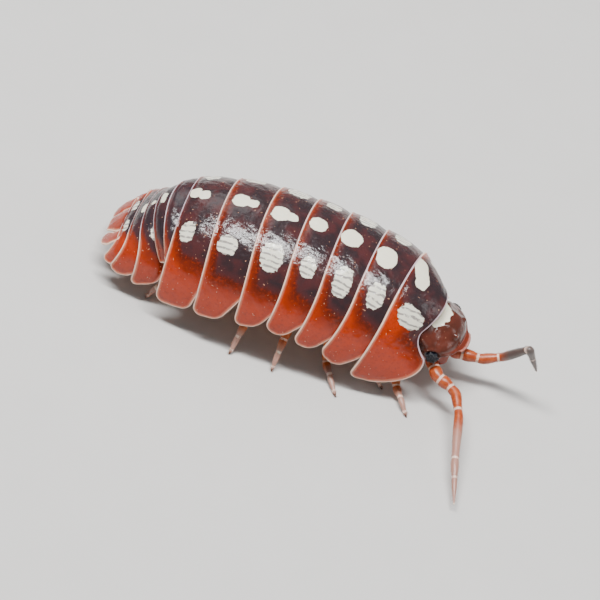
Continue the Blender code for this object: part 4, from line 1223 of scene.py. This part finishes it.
def arch_ring(number, around):
    """The flesh at one hind edge: the plate's own arch drawn in, closed below by a flat belly."""
    top, row = TOPS[number], BACK[number]
    upper = around <= math.pi
    angle = TRUNK_REACH * math.pi / 2 * (1 - 2 * around / math.pi)
    arch = np.stack([0 * angle, (row.half - TRUNK_INSET) * np.sin(angle),
                     (row.arch - TRUNK_INSET) * np.cos(angle) - row.arch], -1)
    arch = turned(arch, row.tilt, row.turn) + top
    if number == 0:
        arch = arch + np.array([-NECK_BACK, 0.0, -0.25])
    if number == 7:
        arch = arch + np.array([0.25, 0.0, 0.05])
    left, right = arch[0], arch[FLESH_ROUND // 2]
    part = (1 + squared(np.cos(around), 3.2)) / 2
    below = right + (left - right) * part[:, None]
    below[:, 2] += (BELLY[number] - below[:, 2]) * squared(-np.sin(around), 3.2)
    return np.where(upper[:, None], arch, below)


def oval_ring(cut, around):
    """The flesh in the tail: an oval between a top and a bottom point."""
    top, low = np.array([cut.top_x, cut.side, cut.top_z]), np.array([cut.low_x, cut.side, cut.low_z])
    ring = (top + low) / 2 + (top - low) / 2 * squared(np.sin(around), 2.2)[:, None]
    return ring + LEFTWARD * (cut.half * squared(np.cos(around), 2.2))[:, None]


def make_flesh():
    """One closed skin through all the rings, its belly folded once for each plate."""
    around = np.linspace(0, 2 * math.pi, FLESH_ROUND, endpoint=False)
    rings = np.array([arch_ring(number, around) for number in range(8)] +
                     [oval_ring(cut, around) for cut in TAIL_CUTS])
    station = np.linspace(0, len(rings) - 1, CUTS_EACH * (len(rings) - 1) + 1)
    number = np.minimum(station.astype(int), len(rings) - 2)
    part = station - number
    grid = rings[number] + (rings[number + 1] - rings[number]) * part[:, None, None]
    middle = grid.mean(1, keepdims=True)
    belly = ease(-np.sin(around), 0.05, 0.6)[None, :]
    fold = FOLD_DEEP * (ease(part, 0.0, 0.12) - part * 0.9)[:, None] * belly
    groove = 0.06 * hill(grid[..., 1] - middle[..., 1], 0.16) * belly
    hips = np.zeros(grid.shape[:2])
    for stride in STRIDES:
        for side, foot in ((1, (stride.left_x, stride.left_y)), (-1, (stride.right_x, stride.right_y))):
            hip = leg_corners(stride.pair, side, *foot)[1]
            away = np.hypot(grid[..., 0] - hip[0], grid[..., 1] - hip[1])
            hips = hips + 0.12 * hill(away - 0.30, 0.14) * belly
    outward_way = unit(grid - middle)
    grid = grid + outward_way * (fold - groove + hips)[..., None]
    ends = [np.repeat(grid[:1].mean(1, keepdims=True), FLESH_ROUND, 1),
            np.repeat(grid[-1:].mean(1, keepdims=True), FLESH_ROUND, 1)]
    grid = np.concatenate([ends[0], grid, ends[1]])
    rows = np.concatenate([[0], np.arange(len(station)), [len(station) - 1]])
    # Distance to the belly's folds, where the skin is given its painted shade.
    nearest = np.minimum(part, 1 - part)[rows][:, None] * 1.7 + 0 * grid[..., 0]
    faces = outward(grid, grid_faces(len(grid), FLESH_ROUND, round_columns=True))
    return make_piece("soft_body", grid, faces, MEMBRANE, ["trunk", "trunk_tail"],
                      {"fold": nearest, "mark": 0 * nearest - 1})


make_flesh()

# %% [markdown]
# ## Floor, light and camera
#
# The camera that took the photograph looked down at about 45 degrees from the animal's right,
# a little toward its head. Its place was found by matching a dozen points of the body, and it
# stands far off with a long lens, so that near and far parts keep their sizes.

# %% The camera
CAMERA_HEIGHT, CAMERA_SWING, CAMERA_DISTANCE = 45.0, 6.5, 220.0
PIXELS_PER_MM, PICTURE = 22.0, 600
BACK_PIXEL = (306, 221)    # where the top of the fourth plate's hind edge shows
BODY_SLOPE = 19.5          # how steeply the body's axis falls to the right in the picture


def camera_axes():
    """Unit vectors toward the camera, to the picture's right and up it, in the body's frame."""
    height, swing = math.radians(CAMERA_HEIGHT), math.radians(CAMERA_SWING)
    toward = np.array([math.sin(swing) * math.cos(height), -math.cos(swing) * math.cos(height), math.sin(height)])
    level = np.array([math.cos(swing), math.sin(swing), 0.0])
    rise = np.cross(toward, level)
    roll = math.radians(BODY_SLOPE) - math.atan2(-rise[0], level[0])
    right = math.cos(roll) * level + math.sin(roll) * rise
    return toward, right, np.cross(toward, right)


def place_camera():
    """A camera at its matched place, looking at the middle of the picture."""
    toward, right, up = camera_axes()
    top = np.array([0.0, 0.0, BACK_HEIGHT])
    place = top + toward * CAMERA_DISTANCE
    to_middle = ((PICTURE / 2 - BACK_PIXEL[0]) * right - (PICTURE / 2 - BACK_PIXEL[1]) * up) / PIXELS_PER_MM
    backward = unit(place - (top + to_middle))
    right = unit(np.cross(up, backward))
    axes = np.stack([right, np.cross(backward, right), backward], 1)
    camera = bpy.data.cameras.new("camera")
    camera.sensor_width = 36.0
    camera.lens = camera.sensor_width * CAMERA_DISTANCE / (PICTURE / PIXELS_PER_MM)
    camera.clip_start, camera.clip_end = 0.01, 10.0
    made = bpy.data.objects.new("camera", camera)
    matrix = np.eye(4)
    matrix[:3, :3] = axes
    matrix[:3, 3] = place * MM + SHIFT
    made.matrix_world = Matrix(matrix.tolist())
    bpy.context.scene.collection.objects.link(made)
    bpy.context.scene.camera = made
    return made


camera = place_camera()
print("camera lens (mm):", round(camera.data.lens, 1))

# %% The floor
def make_floor():
    """A wide plain sheet just under the feet, in matte pale card."""
    made, tree = new_finish("matte_card")
    shade = blend_colours(tree, grain(tree, 3.0), "#cbc9c6", "#d1cfcc")
    close_finish(tree, add(tree, "ShaderNodeBsdfPrincipled", {"Base Color": shade, "Roughness": 0.9}))
    mesh = bpy.data.meshes.new("floor")
    half = 1.5
    mesh.from_pydata([(-half, -half, 0), (half, -half, 0), (half, half, 0), (-half, half, 0)], [], [(0, 1, 2, 3)])
    mesh.materials.append(made)
    floor = bpy.data.objects.new("floor", mesh)
    bpy.context.scene.collection.objects.link(floor)
    return floor


make_floor()


# %% Lamps
def softbox(name, direction, distance, long, wide, power):
    """A lamp that shines at the animal from this direction, long along the body, sizes in mm."""
    lamp = bpy.data.lights.new(name, "AREA")
    lamp.shape = "RECTANGLE"
    lamp.size = long * MM
    lamp.size_y = wide * MM
    lamp.energy = power
    made = bpy.data.objects.new(name, lamp)
    backward = unit(np.array(direction, float))
    right = unit(np.array([1.0, 0.0, 0.0]) - backward[0] * backward)
    matrix = np.eye(4)
    matrix[:3, :3] = np.stack([right, np.cross(backward, right), backward], 1)
    matrix[:3, 3] = backward * distance * MM
    made.matrix_world = Matrix(matrix.tolist())
    bpy.context.scene.collection.objects.link(made)
    return made


softbox("key_softbox", (-0.08, -0.06, 0.99), 160, 130, 20, 0.54)
softbox("top_softbox", (-0.5, 0.9, 1.1), 220, 120, 120, 0.11)
softbox("front_softbox", (1.2, 0.1, 0.7), 220, 90, 90, 0.07)
world = bpy.data.worlds.new("studio")
world.use_nodes = True
world.node_tree.nodes["Background"].inputs["Color"].default_value = (*linear("#e8ecf0"), 1.0)
world.node_tree.nodes["Background"].inputs["Strength"].default_value = 0.30
bpy.context.scene.world = world
